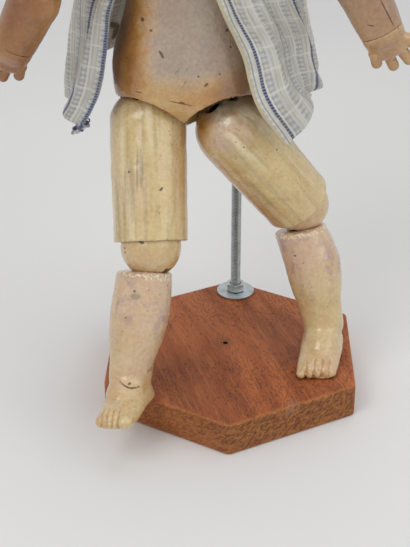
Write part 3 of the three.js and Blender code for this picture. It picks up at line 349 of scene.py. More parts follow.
def scaled(form, x, y, z):
    """Form scaled along each axis."""
    return (form[0] * np.array([x, y, z], float), *form[1:])


def limb_turn(way, front):
    """Rotation that takes -Z to the limb's way and -Y to its front, as a matrix of columns."""
    up = -unit(way)
    back = -np.array(front, float)
    back = unit(back - up * (back @ up))
    return np.stack([np.cross(back, up), back, up], -1)


def axis_turn(axis, degrees):
    """Rotation about an axis: I + sin a K + (1 - cos a) K K, with K the axis's cross matrix."""
    x, y, z = unit(np.array(axis, float))
    k = np.array([[0, -z, y], [z, 0, -x], [-y, x, 0]])
    a = np.radians(degrees)
    return np.eye(3) + np.sin(a) * k + (1 - np.cos(a)) * k @ k


def turned(form, matrix):
    """Form turned by a rotation about the origin."""
    return (form[0] @ matrix.T, *form[1:])


def placed(form, position, matrix):
    """Form turned by a rotation and then shifted."""
    return moved(turned(form, matrix), position)


# Meshes

def put(name, data):
    """A new object in the scene that shows the data."""
    made = bpy.data.objects.new(name, data)
    bpy.context.scene.collection.objects.link(made)
    return made


def mesh_object(name, forms):
    """One object that holds the closed surfaces given, in metres, smooth-shaded."""
    points, faces, start = [], [], 0
    for corners, quads, fans in forms:
        points.append(corners)
        faces.extend([*(quads + start).tolist(), *(fans + start).tolist()])
        start += len(corners)
    mesh = bpy.data.meshes.new(name)
    mesh.from_pydata((np.vstack(points) * MM).tolist(), [], faces)
    mesh.polygons.foreach_set("use_smooth", np.ones(len(mesh.polygons), bool))
    mesh.update()
    return put(name, mesh)


def settle(made):
    """Applies the object's modifiers to its mesh."""
    graph = bpy.context.evaluated_depsgraph_get()
    mesh = bpy.data.meshes.new_from_object(
        made.evaluated_get(graph), preserve_all_data_layers=True, depsgraph=graph)
    made.modifiers.clear()
    old = made.data
    made.data = mesh
    bpy.data.meshes.remove(old)
    mesh.name = made.name


def combine(made, forms, operation="DIFFERENCE"):
    """Cuts the forms out of the object, or joins them to it, one after another. A form can also be
    an object, which is used up."""
    tools = [form if isinstance(form, bpy.types.Object) else mesh_object("tool", [form])
             for form in forms]
    for tool in tools:
        step = made.modifiers.new("step", "BOOLEAN")
        step.operation, step.solver, step.object = operation, "MANIFOLD", tool
    settle(made)
    for tool in tools:
        bpy.data.meshes.remove(tool.data)
    if len(made.data.polygons) < 4:
        raise RuntimeError(f"{made.name} was lost when its openings were cut")


def fuse(made, size):
    """Makes one even skin round the object's overlapping forms, with faces of the given size."""
    step = made.modifiers.new("skin", "REMESH")
    step.mode, step.voxel_size, step.use_smooth_shade = "VOXEL", size * MM, True
    settle(made)


def read(items, field, width, kind=np.float32):
    """A field of all the mesh's items, one row for each."""
    values = np.empty(len(items) * width, kind)
    items.foreach_get(field, values)
    return values.reshape(-1, width)


def points_of(made):
    """The mesh's points in millimetres."""
    return read(made.data.vertices, "co", 3).astype(float) / MM


def normals_of(made):
    """The mesh's outward directions at its points."""
    return read(made.data.vertex_normals, "vector", 3).astype(float)


def edges_of(made):
    """The mesh's edges as pairs of point numbers."""
    return read(made.data.edges, "vertices", 2, np.int32)


def set_points(made, points):
    """Writes points in millimetres into the mesh."""
    made.data.vertices.foreach_set("co", (points * MM).astype(np.float32).ravel())
    made.data.update()


def averaged(values, edges):
    """Mean of each point's neighbours along the edges."""
    a, b = edges.T
    count = np.bincount(edges.ravel(), minlength=len(values)).astype(float)
    columns = [np.bincount(a, values[b, k], len(values)) + np.bincount(b, values[a, k], len(values))
               for k in range(values.shape[1])]
    return np.stack(columns, -1) / np.maximum(count, 1)[:, None]


def relax(made, rounds):
    """Smooths the skin without shrinking it: each round moves a point half way to its neighbours'
    mean, and then back out by a little more than that share of the new difference."""
    points, edges = points_of(made), edges_of(made)
    for _ in range(rounds):
        for share in (0.5, -0.52):
            points = points + share * (averaged(points, edges) - points)
    set_points(made, points)


def soften(made, share, rounds):
    """Moves each point towards its neighbours' mean by its own share, in every round."""
    points, edges = points_of(made), edges_of(made)
    for _ in range(rounds):
        points = points + share[:, None] * (averaged(points, edges) - points)
    set_points(made, points)


def hollowness(made, rounds=10):
    """How far the smoothed skin lies outside the point, in millimetres: positive in a hollow."""
    points, edges = points_of(made), edges_of(made)
    soft = points
    for _ in range(rounds):
        soft = averaged(soft, edges)
    return ((soft - points) * normals_of(made)).sum(-1)


def attribute(made, name, values):
    """Stores a number or a vector for each point, or one number for all of them, under a name that
    the material reads."""
    values = np.asarray(values, float)
    if not values.ndim:
        values = np.full(len(made.data.vertices), values)
    kind, field = ("FLOAT_VECTOR", "vector") if values.ndim == 2 else ("FLOAT", "value")
    layer = made.data.attributes.new(name, kind, "POINT")
    layer.data.foreach_set(field, values.astype(np.float32).ravel())


def crisp(made, degrees):
    """Keeps edges sharp where two faces meet at more than the angle."""
    made.data.set_sharp_from_angle(angle=np.radians(degrees))


def waves(points, seed, size, count=7):
    """Soft unevenness between -1 and 1: the mean of sine waves with random directions, whose
    lengths lie between half and twice the size."""
    rng = np.random.default_rng(seed)
    total = np.zeros(len(points))
    for _ in range(count):
        way = unit(rng.normal(size=3)) * 2 * np.pi / (size * 2 ** rng.uniform(-1, 1))
        total += np.sin(points @ way + rng.uniform(0, 2 * np.pi))
    return total / count * 1.6


def coat(made, name):
    """Gives the piece one material and takes any other off it."""
    made.data.materials.clear()
    made.data.materials.append(material(name))


def finish(made, body, replaced, material_name):
    """Gives the piece its material and body, and hides the solids in the frame that it stands for."""
    coat(made, material_name)
    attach(made, body)
    if replaced:
        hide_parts(*replaced)
    return made


# Materials

def srgb(red, green, blue):
    """Screen colour of 0 to 255 as the linear colour that a shader takes."""
    share = np.array([red, green, blue]) / 255
    linear = np.where(share > 0.04045, ((share + 0.055) / 1.055) ** 2.4, share / 12.92)
    return (*linear.tolist(), 1.0)


class Recipe:
    """A material in the making: it adds shader nodes, links them, and keeps the colour so far."""

    def __init__(self, name, colour):
        """Starts an empty material whose colour so far is the one given."""
        self.material = bpy.data.materials.new(f"doll_{name}")
        self.material.use_nodes = True
        self.material.diffuse_color = self.colour = colour
        self.tree = self.material.node_tree
        self.tree.nodes.clear()
        self.place = self.add("TexCoord").outputs["Object"]

    def add(self, kind, inputs=None, **settings):
        """Adds a node. An input that is another node's socket is linked, any other is set."""
        node = self.tree.nodes.new("ShaderNode" + kind)
        for name, value in settings.items():
            setattr(node, name, value)
        for key, value in (inputs or {}).items():
            if isinstance(value, bpy.types.NodeSocket):
                self.tree.links.new(value, node.inputs[key])
            else:
                node.inputs[key].default_value = value
        return node

    def painted(self, name, output="Fac"):
        """What the mesh stores under the name."""
        return self.add("Attribute", attribute_name=name).outputs[output]

    def mapped(self, vector, scale=(1, 1, 1), turn=(0, 0, 0)):
        """Coordinates turned by degrees and scaled along each axis."""
        inputs = {"Vector": vector, "Scale": scale, "Rotation": np.radians(turn).tolist()}
        return self.add("Mapping", inputs).outputs[0]

    def noise(self, scale, detail=2.0, distortion=0.0, at=None):
        """Cloudy noise of 0 to 1, over the object's coordinates if no others are given."""
        inputs = {"Vector": self.place if at is None else at, "Scale": scale, "Detail": detail,
                  "Distortion": distortion}
        return self.add("TexNoise", inputs).outputs["Fac"]

    def stretched(self, at, scale, detail, distortion=0.0, turn=(0, 0, 0)):
        """Cloudy noise with its own scale along each axis."""
        return self.noise(1.0, detail, distortion, self.mapped(at, scale, turn))

    def cells(self, scale, at=None):
        """Distance to the nearest of scattered points, and that point's random number."""
        node = self.add("TexVoronoi", {"Vector": self.place if at is None else at, "Scale": scale})
        return node.outputs["Distance"], node.outputs["Color"]

    def math(self, operation, a, b=0.0):
        """One step of arithmetic on two values."""
        return self.add("Math", {0: a, 1: b}, operation=operation).outputs[0]

    def plus(self, a, b):
        """a + b."""
        return self.math("ADD", a, b)

    def times(self, a, b):
        """a * b."""
        return self.math("MULTIPLY", a, b)

    def over(self, value, limit):
        """1 where the value is greater than the limit, 0 elsewhere."""
        return self.math("GREATER_THAN", value, limit)

    def span(self, value, low, high, to_low=0.0, to_high=1.0):
        """The range low..high carried over to another and held at its ends."""
        inputs = {0: value, 1: low, 2: high, 3: to_low, 4: to_high}
        return self.add("MapRange", inputs).outputs[0]

    def share(self, value, low, high, most, *others):
        """A share that grows from 0 to `most` between two values, times any others given."""
        share = self.span(value, low, high, 0.0, most)
        for other in others:
            share = self.times(share, other)
        return share

    def mix(self, share, a, b, blend="MIX"):
        """Colour a with a share of colour b."""
        inputs = {0: share, 6: a, 7: b}
        return self.add("Mix", inputs, data_type="RGBA", blend_type=blend).outputs[2]

    def tint(self, share, colour, blend="MIX"):
        """Lays a share of another colour over the colour so far."""
        self.colour = self.mix(share, self.colour, colour, blend)

    def marks(self, rows):
        """Small long marks: for each row (x, y, z, half length, half width in millimetres, lean in
        degrees) 1 where the length of the point in the mark's own measure is below 1."""
        most = 0.0
        for x, y, z, long, wide, lean in rows:
            inputs = {"Vector": self.place, "Location": vec(x, y, z) * MM,
                      "Rotation": (0, np.radians(lean), 0), "Scale": vec(long, MARK_DEPTH, wide) * MM}
            own = self.add("Mapping", inputs, vector_type="TEXTURE").outputs[0]
            away = self.add("VectorMath", {0: own}, operation="LENGTH").outputs["Value"]
            most = self.math("MAXIMUM", most, self.span(away, 1.15, 0.75))
        return most

    def raised(self, height, distance, below=None):
        """Surface direction for a height in metres, over another such direction if one is given."""
        inputs = {"Height": height, "Distance": distance, "Strength": 1.0}
        if below is not None:
            inputs["Normal"] = below
        return self.add("Bump", inputs).outputs[0]

    def done(self, **inputs):
        """Ends the material with its surface shader, and returns it."""
        named = {name.replace("_", " "): value for name, value in inputs.items()}
        surface = self.add("BsdfPrincipled", {"Base Color": self.colour, **named})
        self.add("OutputMaterial", {"Surface": surface.outputs[0]})
        return self.material


# Places of marks on the paint: x, y, z, half length, half width, all in millimetres, and the lean
# from the horizontal in degrees. Dark marks are pits, cracks and scratches through the paint, and
# stains only darken it. Each reaches a few millimetres into the surface.
MARK_DEPTH = 9
DARK_MARKS = [
    (-59.6, -20.8, 285.0, 1.3, 1.3, 0), (-53.7, -25.6, 279.1, 0.9, 0.7, 0),
    (-46.9, -31.3, 265.3, 2.3, 0.8, 52), (-45.9, -32.0, 263.3, 0.9, 0.6, 13),
    (-22.6, -34.5, 251.2, 0.6, 0.6, 0), (-17.5, -33.7, 245.2, 1.6, 0.8, -41),
    (-34.6, -32.3, 231.8, 7.8, 0.32, 12), (-33.6, -32.8, 232.2, 2.0, 0.8, 15),
    (-4.0, -24.3, 279.5, 1.1, 0.8, 47), (-1.8, -26.2, 268.7, 0.9, 0.5, 54),
    (-8.7, -32.0, 252.1, 0.5, 0.5, 0), (-70.3, -20.8, 258.9, 0.5, 0.5, 0),
    (-62.7, -26.9, 237.4, 2.6, 0.35, -4), (-47.4, -47.4, 176.2, 1.4, 0.8, -34),
    (-69.3, -41.4, 186.0, 0.6, 0.6, 0), (-60.3, -60.6, 142.7, 1.8, 0.8, 3),
    (-72.6, -55.0, 135.5, 0.7, 0.5, 42), (-72.2, -56.4, 132.8, 0.5, 0.6, 0),
    (-65.1, -72.2, 111.3, 0.8, 0.7, 0), (-71.1, -77.7, 93.7, 0.5, 0.5, 0),
    (-73.4, -80.1, 84.4, 0.4, 0.4, 0), (-68.4, -92.8, 49.9, 6.7, 0.3, 15),
    (-68.4, -93.5, 51.3, 1.0, 0.5, 0), (68.6, -33.0, 44.8, 5.2, 0.3, 6),
    (94.4, -60.9, 302.5, 9.8, 0.4, 61), (84.6, -63.1, 295.4, 2.2, 0.3, 6),
    (46.1, -3.2, 104.5, 0.7, 0.7, 0), (7.7, -25.5, 198.1, 0.6, 0.5, 0),
    (30.4, -12.7, 191.5, 0.6, 0.5, 0),
]
STAIN_MARKS = [
    (-64.4, -73.2, 108.0, 3.7, 2.3, -6), (-55.2, -81.9, 55.0, 1.7, 1.7, 0),
    (-61.0, -44.0, 190.0, 15, 1.6, 88), (-63.5, -42.0, 186.0, 19, 0.9, 90),
    (-50.0, -46.0, 163.0, 6, 2.2, -70), (-31.9, -34.6, 245.9, 3.6, 0.45, -57),
    (-36.4, -34.4, 254.9, 3.2, 0.35, -52), (-29.7, -34.5, 256.4, 2.6, 0.3, -51),
]
# Turn of the board's grain about the upright, in degrees
GRAIN_TURN = 72
BOARD_STAIN = [(44.9, -78.8, BASE_THICK, 5, 9, 18)]


def composition(c):
    """Painted and varnished composition: yellow and pink beige in soft patches, pale bands and grey
    streaks along the limb, darkened varnish, grey paint on the belly, pale chips at a worn rim, small
    dark pits and specks, and a fine unevenness. The orange and brown of the varnish also serve as
    painted shade on the torso's sides, the tops of the thighs and the arms and hands."""
    r = Recipe("painted_composition", c.flesh_yellow)
    limb, tone, streak = r.painted("limb", "Vector"), r.painted("tone"), r.painted("streak")
    fine = r.noise(420.0, 4.0)
    pink = r.plus(tone, r.span(r.noise(22.0), 0.3, 0.7, -0.4, 0.4))
    r.tint(r.span(pink, 0.0, 1.0), c.flesh_pink)
    r.tint(r.share(r.noise(58.0, 4.0, 0.4), 0.5, 0.72, 0.45), c.flesh_ochre)
    bands = r.stretched(limb, (0.075, 0.075, 0.008), 2.0)
    r.tint(r.share(bands, 0.5, 0.62, 0.7, streak), c.flesh_pale)
    bruised = r.share(r.noise(78.0, 5.0, 0.8), 0.5, 0.66, 0.8, r.span(tone, 0.2, 0.9, 0.05, 1.0))
    r.tint(bruised, c.flesh_mauve)
    along = r.stretched(limb, (0.21, 0.21, 0.014), 4.0)
    r.tint(r.share(along, 0.5, 0.68, 0.55, streak), c.streak_grey)
    warm = r.plus(r.painted("warm"), r.span(r.noise(40.0, 4.0), 0.35, 0.65, -0.16, 0.16))
    # Orange and brown varnish from warm, which in places stands for painted shade and painted shadow
    r.tint(r.share(warm, 0.05, 0.6, 1.0), c.varnish_orange_and_shade)
    r.tint(r.share(warm, 0.45, 1.1, 1.0), c.varnish_brown_and_shade)
    r.tint(r.share(r.painted("grey"), 0.0, 1.0, 0.8), c.flesh_grey)
    r.tint(r.share(r.painted("crease"), 0.1, 0.8, 0.75), c.varnish_ochre)
    chips = r.share(r.noise(620.0, 4.0), 0.5, 0.58, 0.8)
    r.tint(r.times(r.painted("rim"), chips), c.chip_pale)
    near, kind = r.cells(170.0)
    size = r.span(kind, 0.8, 1.0, 0.03, 0.12)
    pits = r.times(r.math("LESS_THAN", near, size), r.over(kind, 0.8))
    specks_near, specks_kind = r.cells(380.0)
    crowd = r.span(r.noise(30.0), 0.42, 0.62, 0.97, 0.72)
    specks = r.times(r.span(specks_near, 0.24, 0.14), r.over(specks_kind, crowd))
    r.tint(r.times(specks, 0.62), c.pit_brown)
    r.tint(r.times(r.marks(STAIN_MARKS), 0.5), c.stain_grey)
    spots = r.times(r.marks(DARK_MARKS), 0.78)
    r.tint(spots, c.pit_brown)
    r.tint(r.times(pits, 0.75), c.pit_brown)
    r.tint(r.share(r.painted("mark"), 0.25, 0.7, 0.95), c.pit_brown)
    r.tint(0.14, r.mix(r.span(fine, 0.3, 0.7), srgb(104, 94, 84), srgb(255, 250, 240)), "OVERLAY")
    height = r.plus(r.times(fine, 0.25), r.noise(120.0, 3.0))
    height = r.math("SUBTRACT", r.math("SUBTRACT", height, pits), spots)
    rough = r.span(r.noise(95.0, 4.0), 0.35, 0.65, 0.26, 0.46)
    return r.done(Roughness=rough, Coat_Weight=r.span(spots, 0.0, 0.6, 0.8, 0.0),
                  Coat_Roughness=0.12, Normal=r.raised(height, 0.0009))


def bisque(c):
    """Tinted bisque: matt pale flesh with blushed cheeks, red lips, a darker warm tint in the hollows
    and fine specks.
    """
    r = Recipe("tinted_bisque", c.bisque)
    r.tint(r.share(r.noise(30.0, 3.0), 0.4, 0.7, 0.25), srgb(240, 214, 192))
    r.tint(r.share(r.painted("blush"), 0.0, 1.0, 0.55), c.blush)
    r.tint(r.share(r.painted("crease"), 0.15, 0.9, 0.35), srgb(196, 140, 112))
    r.tint(r.share(r.painted("lips"), 0.2, 0.75, 0.9), c.lips)
    near, kind = r.cells(120.0)
    r.tint(r.share(near, 0.07, 0.04, 0.45, r.over(kind, 0.75)), srgb(120, 86, 66))
    rough = r.span(r.painted("lips"), 0.0, 1.0, 0.48, 0.3)
    return r.done(Roughness=rough, Subsurface_Weight=0.08, Subsurface_Scale=0.004,
                  Normal=r.raised(r.noise(900.0, 3.0), 0.00012))


def board_wood(c):
    """Oiled red-brown hardwood: broad figure, lighter and darker fibres and open pores drawn out
    along the grain, golden-brown with slanting dark flecks where the fibres are cut across, and a
    dirty ring round the small blind hole, whose inside is painted near black as painted shade."""
    r = Recipe("oiled_hardwood", c.wood_light)
    along = r.mapped(r.place, turn=(0, 0, GRAIN_TURN))
    figure = r.stretched(along, (6, 52, 52), 5.0, 0.5, (20, 0, 0))
    r.tint(r.span(figure, 0.36, 0.64), c.wood_dark)
    r.tint(r.share(r.stretched(along, (14, 22, 22), 3.0), 0.5, 0.7, 0.5), c.wood_smudge)
    fibre = r.stretched(along, (26, 520, 520), 4.0)
    r.tint(r.share(fibre, 0.52, 0.72, 0.4), c.wood_fibre)
    dark = r.stretched(along, (80, 1000, 1000), 4.0, turn=(9, 0, 0))
    r.tint(r.share(dark, 0.54, 0.7, 0.4), c.wood_pore)
    flecks = r.stretched(r.mapped(r.place, turn=(0, 38, 0)), (230, 420, 820), 4.0)
    across = r.mix(r.share(flecks, 0.47, 0.58, 0.9), c.wood_end, c.wood_end_dark)
    rows = r.stretched(r.place, (30, 60, 420), 2.0)
    across = r.mix(r.share(rows, 0.5, 0.64, 0.4), across, c.wood_end_dark)
    r.tint(r.share(r.painted("end_grain"), 0.4, 0.85, 0.85), across)
    near, kind = r.cells(1.0, r.mapped(along, (230, 1250, 1250)))
    worn_open = r.span(r.noise(16.0), 0.4, 0.6, 0.75, 0.3)
    pore = r.share(near, 0.5, 0.25, 0.5, r.over(kind, worn_open))
    r.tint(pore, c.wood_pore)
    r.tint(r.share(r.painted("edge"), 0.2, 0.9, 0.5, r.noise(120.0, 3.0)), c.wood_fibre)
    flat = r.mapped(r.place, (1, 1, 0))
    away = r.add("VectorMath", {0: flat, 1: vec(*PLUG_HOLE, 0) * MM}, operation="DISTANCE")
    away = r.times(away.outputs["Value"], 1 / MM)
    r.tint(r.share(away, 9.0, 2.5, 0.35), c.wood_pore)
    # Painted shade: the inside of the blind hole is near black
    r.tint(r.span(away, 2.3, 1.8), srgb(30, 20, 16))
    r.tint(r.times(r.marks(BOARD_STAIN), 0.25), srgb(128, 112, 98))
    height = r.math("SUBTRACT", r.times(fibre, 0.6), pore)
    return r.done(Roughness=r.span(figure, 0.3, 0.7, 0.5, 0.66), Specular_IOR_Level=0.35,
                  Normal=r.raised(height, 0.0006))


def zinc(c):
    """Zinc-plated steel: bluish grey with dull and yellowed patches, and darker in the hollows."""
    r = Recipe("zinc_plate", c.zinc)
    cloud = r.noise(130.0, 4.0)
    r.tint(r.share(cloud, 0.45, 0.7, 0.5), srgb(150, 145, 128))
    r.tint(r.share(r.painted("crease"), 0.1, 0.7, 0.6), srgb(78, 74, 66))
    return r.done(Metallic=1.0, Roughness=r.span(cloud, 0.3, 0.7, 0.32, 0.5),
                  Normal=r.raised(r.noise(900.0, 3.0), 0.00008))


def plain(name, colour, other, scale, depth, **settings):
    """A finish of two mixed colours, uneven at one scale."""
    r = Recipe(name, srgb(*colour))
    r.tint(r.span(r.noise(scale, 4.0), 0.35, 0.65), srgb(*other))
    return r.done(Normal=r.raised(r.noise(scale * 7, 3.0), depth), **settings)


def elastic(c):
    """Aged elastic: braided cover in off-white, from slanting ridges on the cord's surface."""
    r = Recipe("elastic_cord", srgb(206, 196, 176))
    ridge = r.add("TexWave", {"Vector": r.place, "Scale": 260.0, "Distortion": 1.5},
                  bands_direction="DIAGONAL").outputs["Fac"]
    r.colour = r.mix(ridge, srgb(176, 164, 142), srgb(222, 214, 196))
    return r.done(Roughness=0.9, Normal=r.raised(ridge, 0.0003))


def checked_cotton(c):
    """Woven check: off-white and blue-grey threads, dark-blue and grey-green stripes beside the
    front edges and a cream selvage. Distances come from the cloth's own measures in millimetres."""
    r = Recipe("checked_cotton", c.cloth_pale)
    uv = r.add("UVMap", uv_map="cut").outputs[0]
    parts = r.add("SeparateXYZ", {0: uv}).outputs
    wobble = r.span(r.noise(60.0, 3.0), 0.3, 0.7, -0.35, 0.35)
    across, down = (r.plus(r.times(part, 1 / MM), wobble) for part in parts[:2])
    edge = r.plus(r.painted("front_edge"), wobble)

    def sine(value, pace):
        """sin(value * pace)."""
        return r.math("SINE", r.times(value, pace))

    def lines(value, period, width, most):
        """`most` on lines at the given period, 0 between: a narrow part of a triangle wave."""
        wave = r.math("PINGPONG", value, period / 2)
        return r.times(r.span(wave, width / 2 + 0.3, width / 2 - 0.15), most)

    def band(start, end, most):
        """`most` between two distances from the front edge, 0 elsewhere."""
        inside = r.times(r.span(edge, start - 0.25, start + 0.25),
                         r.span(edge, end + 0.25, end - 0.25))
        return r.times(inside, most)

    r.tint(r.span(r.stretched(uv, (900, 60, 1), 3.0), 0.3, 0.7), c.cloth_grey)
    r.tint(r.times(lines(down, 3.4, 1.5, 0.42), r.span(sine(across, 0.57), -0.1, 0.5)),
           c.cloth_blue_grey)
    dash = r.span(sine(down, 3.6), -0.6, 0.6, 0.62, 1.0)
    second = r.math("ABSOLUTE", r.plus(r.painted("second_stripe"), wobble))
    for share, thread in (
            (lines(across, 3.1, 0.8, 0.3), c.cloth_blue_grey),
            (lines(down, 14.0, 1.2, 0.5), c.cloth_white),
            (lines(across, 11.0, 1.0, 0.65), c.cloth_white),
            (lines(across, 33.0, 0.9, 0.7), c.stripe_grey),
            (band(-2.0, 2.0, 1.0), c.selvage), (band(2.6, 6.8, 0.5), c.cloth_white),
            (band(3.9, 5.0, 0.62), c.stripe_green), (band(7.9, 10.2, dash), c.stripe_blue),
            (r.times(r.span(second, 1.2, 0.7), dash), c.stripe_blue),
            (r.painted("stain"), srgb(92, 66, 44)),
            (r.share(r.noise(35.0, 3.0), 0.48, 0.7, 0.3), srgb(160, 148, 126))):
        r.tint(share, thread)
    threads = r.plus(sine(across, 8.6), sine(down, 8.6))
    creases = r.noise(75.0, 4.0, 0.5, r.mapped(r.place, (1, 1, 0.35)))
    return r.done(Roughness=0.92, Sheen_Weight=0.15, Sheen_Roughness=0.5,
                  Normal=r.raised(threads, 0.00007, r.raised(creases, 0.0022)))


def mohair(c):
    """Brown mohair: each lock has its own shade, with fine strands along it."""
    r = Recipe("mohair", c.hair_dark)
    strand = r.stretched(r.painted("limb", "Vector"), (2.6, 2.6, 0.05), 3.0)
    shade = r.plus(r.painted("shade"), r.span(strand, 0.3, 0.7, -0.3, 0.3))
    r.tint(r.span(shade, 0.0, 1.0), c.hair_light)
    return r.done(Roughness=0.5, Sheen_Weight=0.2, Normal=r.raised(strand, 0.0006))


def eye_glass(c):
    """Glass eye: white, a grey-blue iris with fine rays and a dark rim, and a black pupil. Above
    them the upper lid is painted on the glass, with a dark line below it."""
    r = Recipe("eye_glass", srgb(228, 224, 214))
    white = srgb(226, 222, 212)
    parts = r.add("SeparateXYZ", {0: r.place}).outputs
    centre = [float(value) for value in eye_centre(1) * MM]
    aside = r.math("ABSOLUTE", r.math("SUBTRACT", parts[0], float(HEAD[0] * MM)))
    x = r.math("SUBTRACT", aside, EYE_SPACING / 2 * MM)
    z = r.math("SUBTRACT", parts[2], centre[2])
    off = r.times(r.math("SQRT", r.plus(r.times(x, x), r.times(z, z))), 1 / MM)
    angle = r.times(r.math("ARCTAN2", z, x), 9.0)
    ray = r.add("CombineXYZ", {0: angle, 1: off}).outputs[0]
    r.colour = r.mix(r.noise(1.6, at=r.mapped(ray, (1, 0.25, 1))), c.iris, srgb(150, 168, 182))
    r.tint(r.span(off, 3.8, 4.9), srgb(30, 40, 58))
    r.tint(r.span(off, 4.9, 5.15), white)
    r.tint(r.span(off, 2.3, 2.1), srgb(8, 8, 10))
    front = r.span(parts[1], centre[1], centre[1] - 2 * MM)
    r.colour = r.mix(front, white, r.colour)
    up = r.times(z, 1 / MM)
    r.tint(r.span(up, 5.2, 5.4), srgb(70, 46, 34))
    r.tint(r.span(up, 5.8, 6.0), c.bisque)
    return r.done(Roughness=0.12, Coat_Weight=1.0, Coat_Roughness=0.03)


def floor_paper(c):
    """Pale paper sweep, faintly uneven."""
    r = Recipe("studio_paper", c.paper)
    r.tint(r.span(r.noise(1.6), 0.3, 0.7), c.paper_low)
    return r.done(Roughness=0.9)


MATERIALS = {
    "painted_composition": composition, "tinted_bisque": bisque, "oiled_hardwood": board_wood,
    "zinc_plate": zinc, "checked_cotton": checked_cotton, "mohair": mohair, "eye_glass": eye_glass,
    "studio_paper": floor_paper, "elastic_cord": elastic,
}
# Two colours, the size of the unevenness, its depth in metres, and the shader's settings
PLAIN = {
    "steel_wire": ((120, 120, 118), (92, 84, 74), 300, 0.0001, {"Metallic": 1.0, "Roughness": 0.4}),
    "dull_lead": ((104, 105, 108), (84, 82, 80), 200, 0.0003, {"Metallic": 0.6, "Roughness": 0.7}),
    "turned_beech": ((190, 150, 100), (166, 122, 78), 90, 0.0002, {"Roughness": 0.6}),
    "grey_card": ((170, 148, 112), (150, 128, 96), 160, 0.0002, {"Roughness": 0.9}),
    "stitching_thread": ((40, 50, 92), (214, 214, 206), 260, 0.0002, {"Roughness": 0.9}),
    "painted_hair_line": ((84, 56, 38), (104, 70, 46), 700, 0.00005, {"Roughness": 0.5}),
}


def material(name):
    """The material of that name, made when a piece first asks for it."""
    ready = bpy.data.materials.get(f"doll_{name}")
    if ready:
        return ready
    if name in PLAIN:
        *measures, settings = PLAIN[name]
        return plain(name, *measures, **settings)
    return MATERIALS[name](bpy.context.scene.doll_colours)


# Base, rod and clip

def hexagon_radius(angle, apothem, rounding):
    """Distance to the outline of a hexagon with a corner towards -Y: (sum of max(0, cos(angle -
    side) / apothem)^n)^(-1/n) over its six sides, whose corners are rounder where n is small."""
    sides = np.radians(np.arange(0, 360, 60))
    near = np.maximum(np.cos(np.subtract.outer(angle, sides)) / apothem, 0)
    return (near ** rounding).sum(-1) ** (-1 / rounding)


def board_form():
    """Hexagonal board: rings of the rounded hexagon, drawn in by the depth of the eased edges."""
    t = full_turn(360)
    outer = hexagon_radius(t, BASE_APOTHEM, BASE_CORNERS)
    quarter = np.radians(np.linspace(0, 90, 7))
    round_edge = BASE_EDGE * 0.8 * np.stack([1 - np.sin(quarter), 1 - np.cos(quarter)], -1)
    low = [(inset, rise) for inset, rise in round_edge]
    rows = [(80, 0), (40, 0), (12, 0), (5, 0)] + low
    rows += [(0, z) for z in (5, 9, 12.5, 16, 20)]
    rows += [(inset, BASE_THICK - rise) for inset, rise in reversed(low)]
    rows += [(5, BASE_THICK), (12, BASE_THICK), (40, BASE_THICK), (80, BASE_THICK)]
    inset, z = np.array(rows).T[:, :, None]
    return shell(rings(outer - inset, t, z))


def threaded_form(low, high, pitch, depth):
    """Threaded rod: r = radius - depth * (rounded triangle wave of z / pitch - angle / turn), thinner
    towards its chamfered ends."""
    z = np.linspace(low, high, int((high - low) / pitch * 6))[:, None]
    t = full_turn(28)
    wave = 0.5 - np.arcsin(0.94 * np.cos(2 * np.pi * z / pitch - t)) / (2 * np.arcsin(0.94))
    end = np.minimum(z - low, high - z)
    radius = ROD_RADIUS - depth * wave - 0.9 * (1 - smooth(0, 0.9, end))
    return moved(shell(rings(radius, t, z)), (*ROD, 0))


def washer_form(bottom, radius, thick):
    """Washer on the rod: an oblong with eased corners turned round it."""
    inner = ROD_RADIUS + FIT
    outline = eased([(inner, 0), (radius, 0), (radius, thick), (inner, thick)], ease=0.35)
    return moved(lathe(outline, 120), (*ROD, bottom))


def nut_form(bottom):
    """Hexagon nut: rings of the hexagon's radius, cut at either face by a cone of 30 degrees."""
    t = full_turn(144)
    flats = hexagon_radius(t, NUT_ACROSS / 2, NUT_CORNERS)
    bore = ROD_RADIUS + FIT
    low = [(bore, 0.5), (bore + 0.5, 0)]
    low += [(NUT_ACROSS / 2 - 0.25 + 1.732 * z, z) for z in (0, 0.12, 0.24, 0.36, 0.5, 0.7, 1.0)]
    high = [(limit, NUT_THICK - z) for limit, z in reversed(low)]
    limit, z = np.array(low + high).T[:, :, None]
    return moved(shell(rings(np.minimum(limit, flats), t, z), ring=True), (*ROD, bottom))


def strip_section(width, height, ease):
    """Rounded oblong, for a flat strip."""
    w, h = width / 2, height / 2
    return eased([(-w, -h), (w, -h), (w, h), (-w, h)], ease=ease, step=1.0)


# Torso

TORSO_SQUARENESS = 2.25
TORSO_STRETCH = NECK_HEIGHT / 167
# Height above the hips, half width, depth in front and behind
TORSO_ROWS = [
    (height * TORSO_STRETCH, *sizes) for height, *sizes in (
        (-3, 10, 9, 10), (0, 24, 17, 19), (4, 36, 24, 26), (10, 45, 31, 33), (20, 50.5, 37, 38),
        (34, 52.5, 40, 38), (50, 51.5, 40.5, 35), (66, 47, 37.5, 32), (82, 42.5, 34, 30),
        (96, 41.5, 32, 29.5), (112, 43, 31.5, 30.5), (128, 45.5, 31.5, 31.5),
        (142, 44, 29, 30.5), (153, 36, 25, 27), (161, 27, 21.5, 22.5), (167, 23.5, 21, 21.5))
]
torso_at = through(TORSO_ROWS)


def torso_form(shrink=0.0, low_inset=0.0, high_inset=0.0, around=220, rows=200):
    """Torso: at each height a rounded-square section, smaller by `shrink`."""
    height = np.linspace(TORSO_ROWS[0][0] + low_inset, NECK_HEIGHT - high_inset, rows)[:, None]
    t = full_turn(around)
    radius = section_radius(np.cos(t), np.sin(t), *torso_at(height), TORSO_SQUARENESS) - shrink
    return moved(shell(rings(radius, t, height)), TORSO_AT)


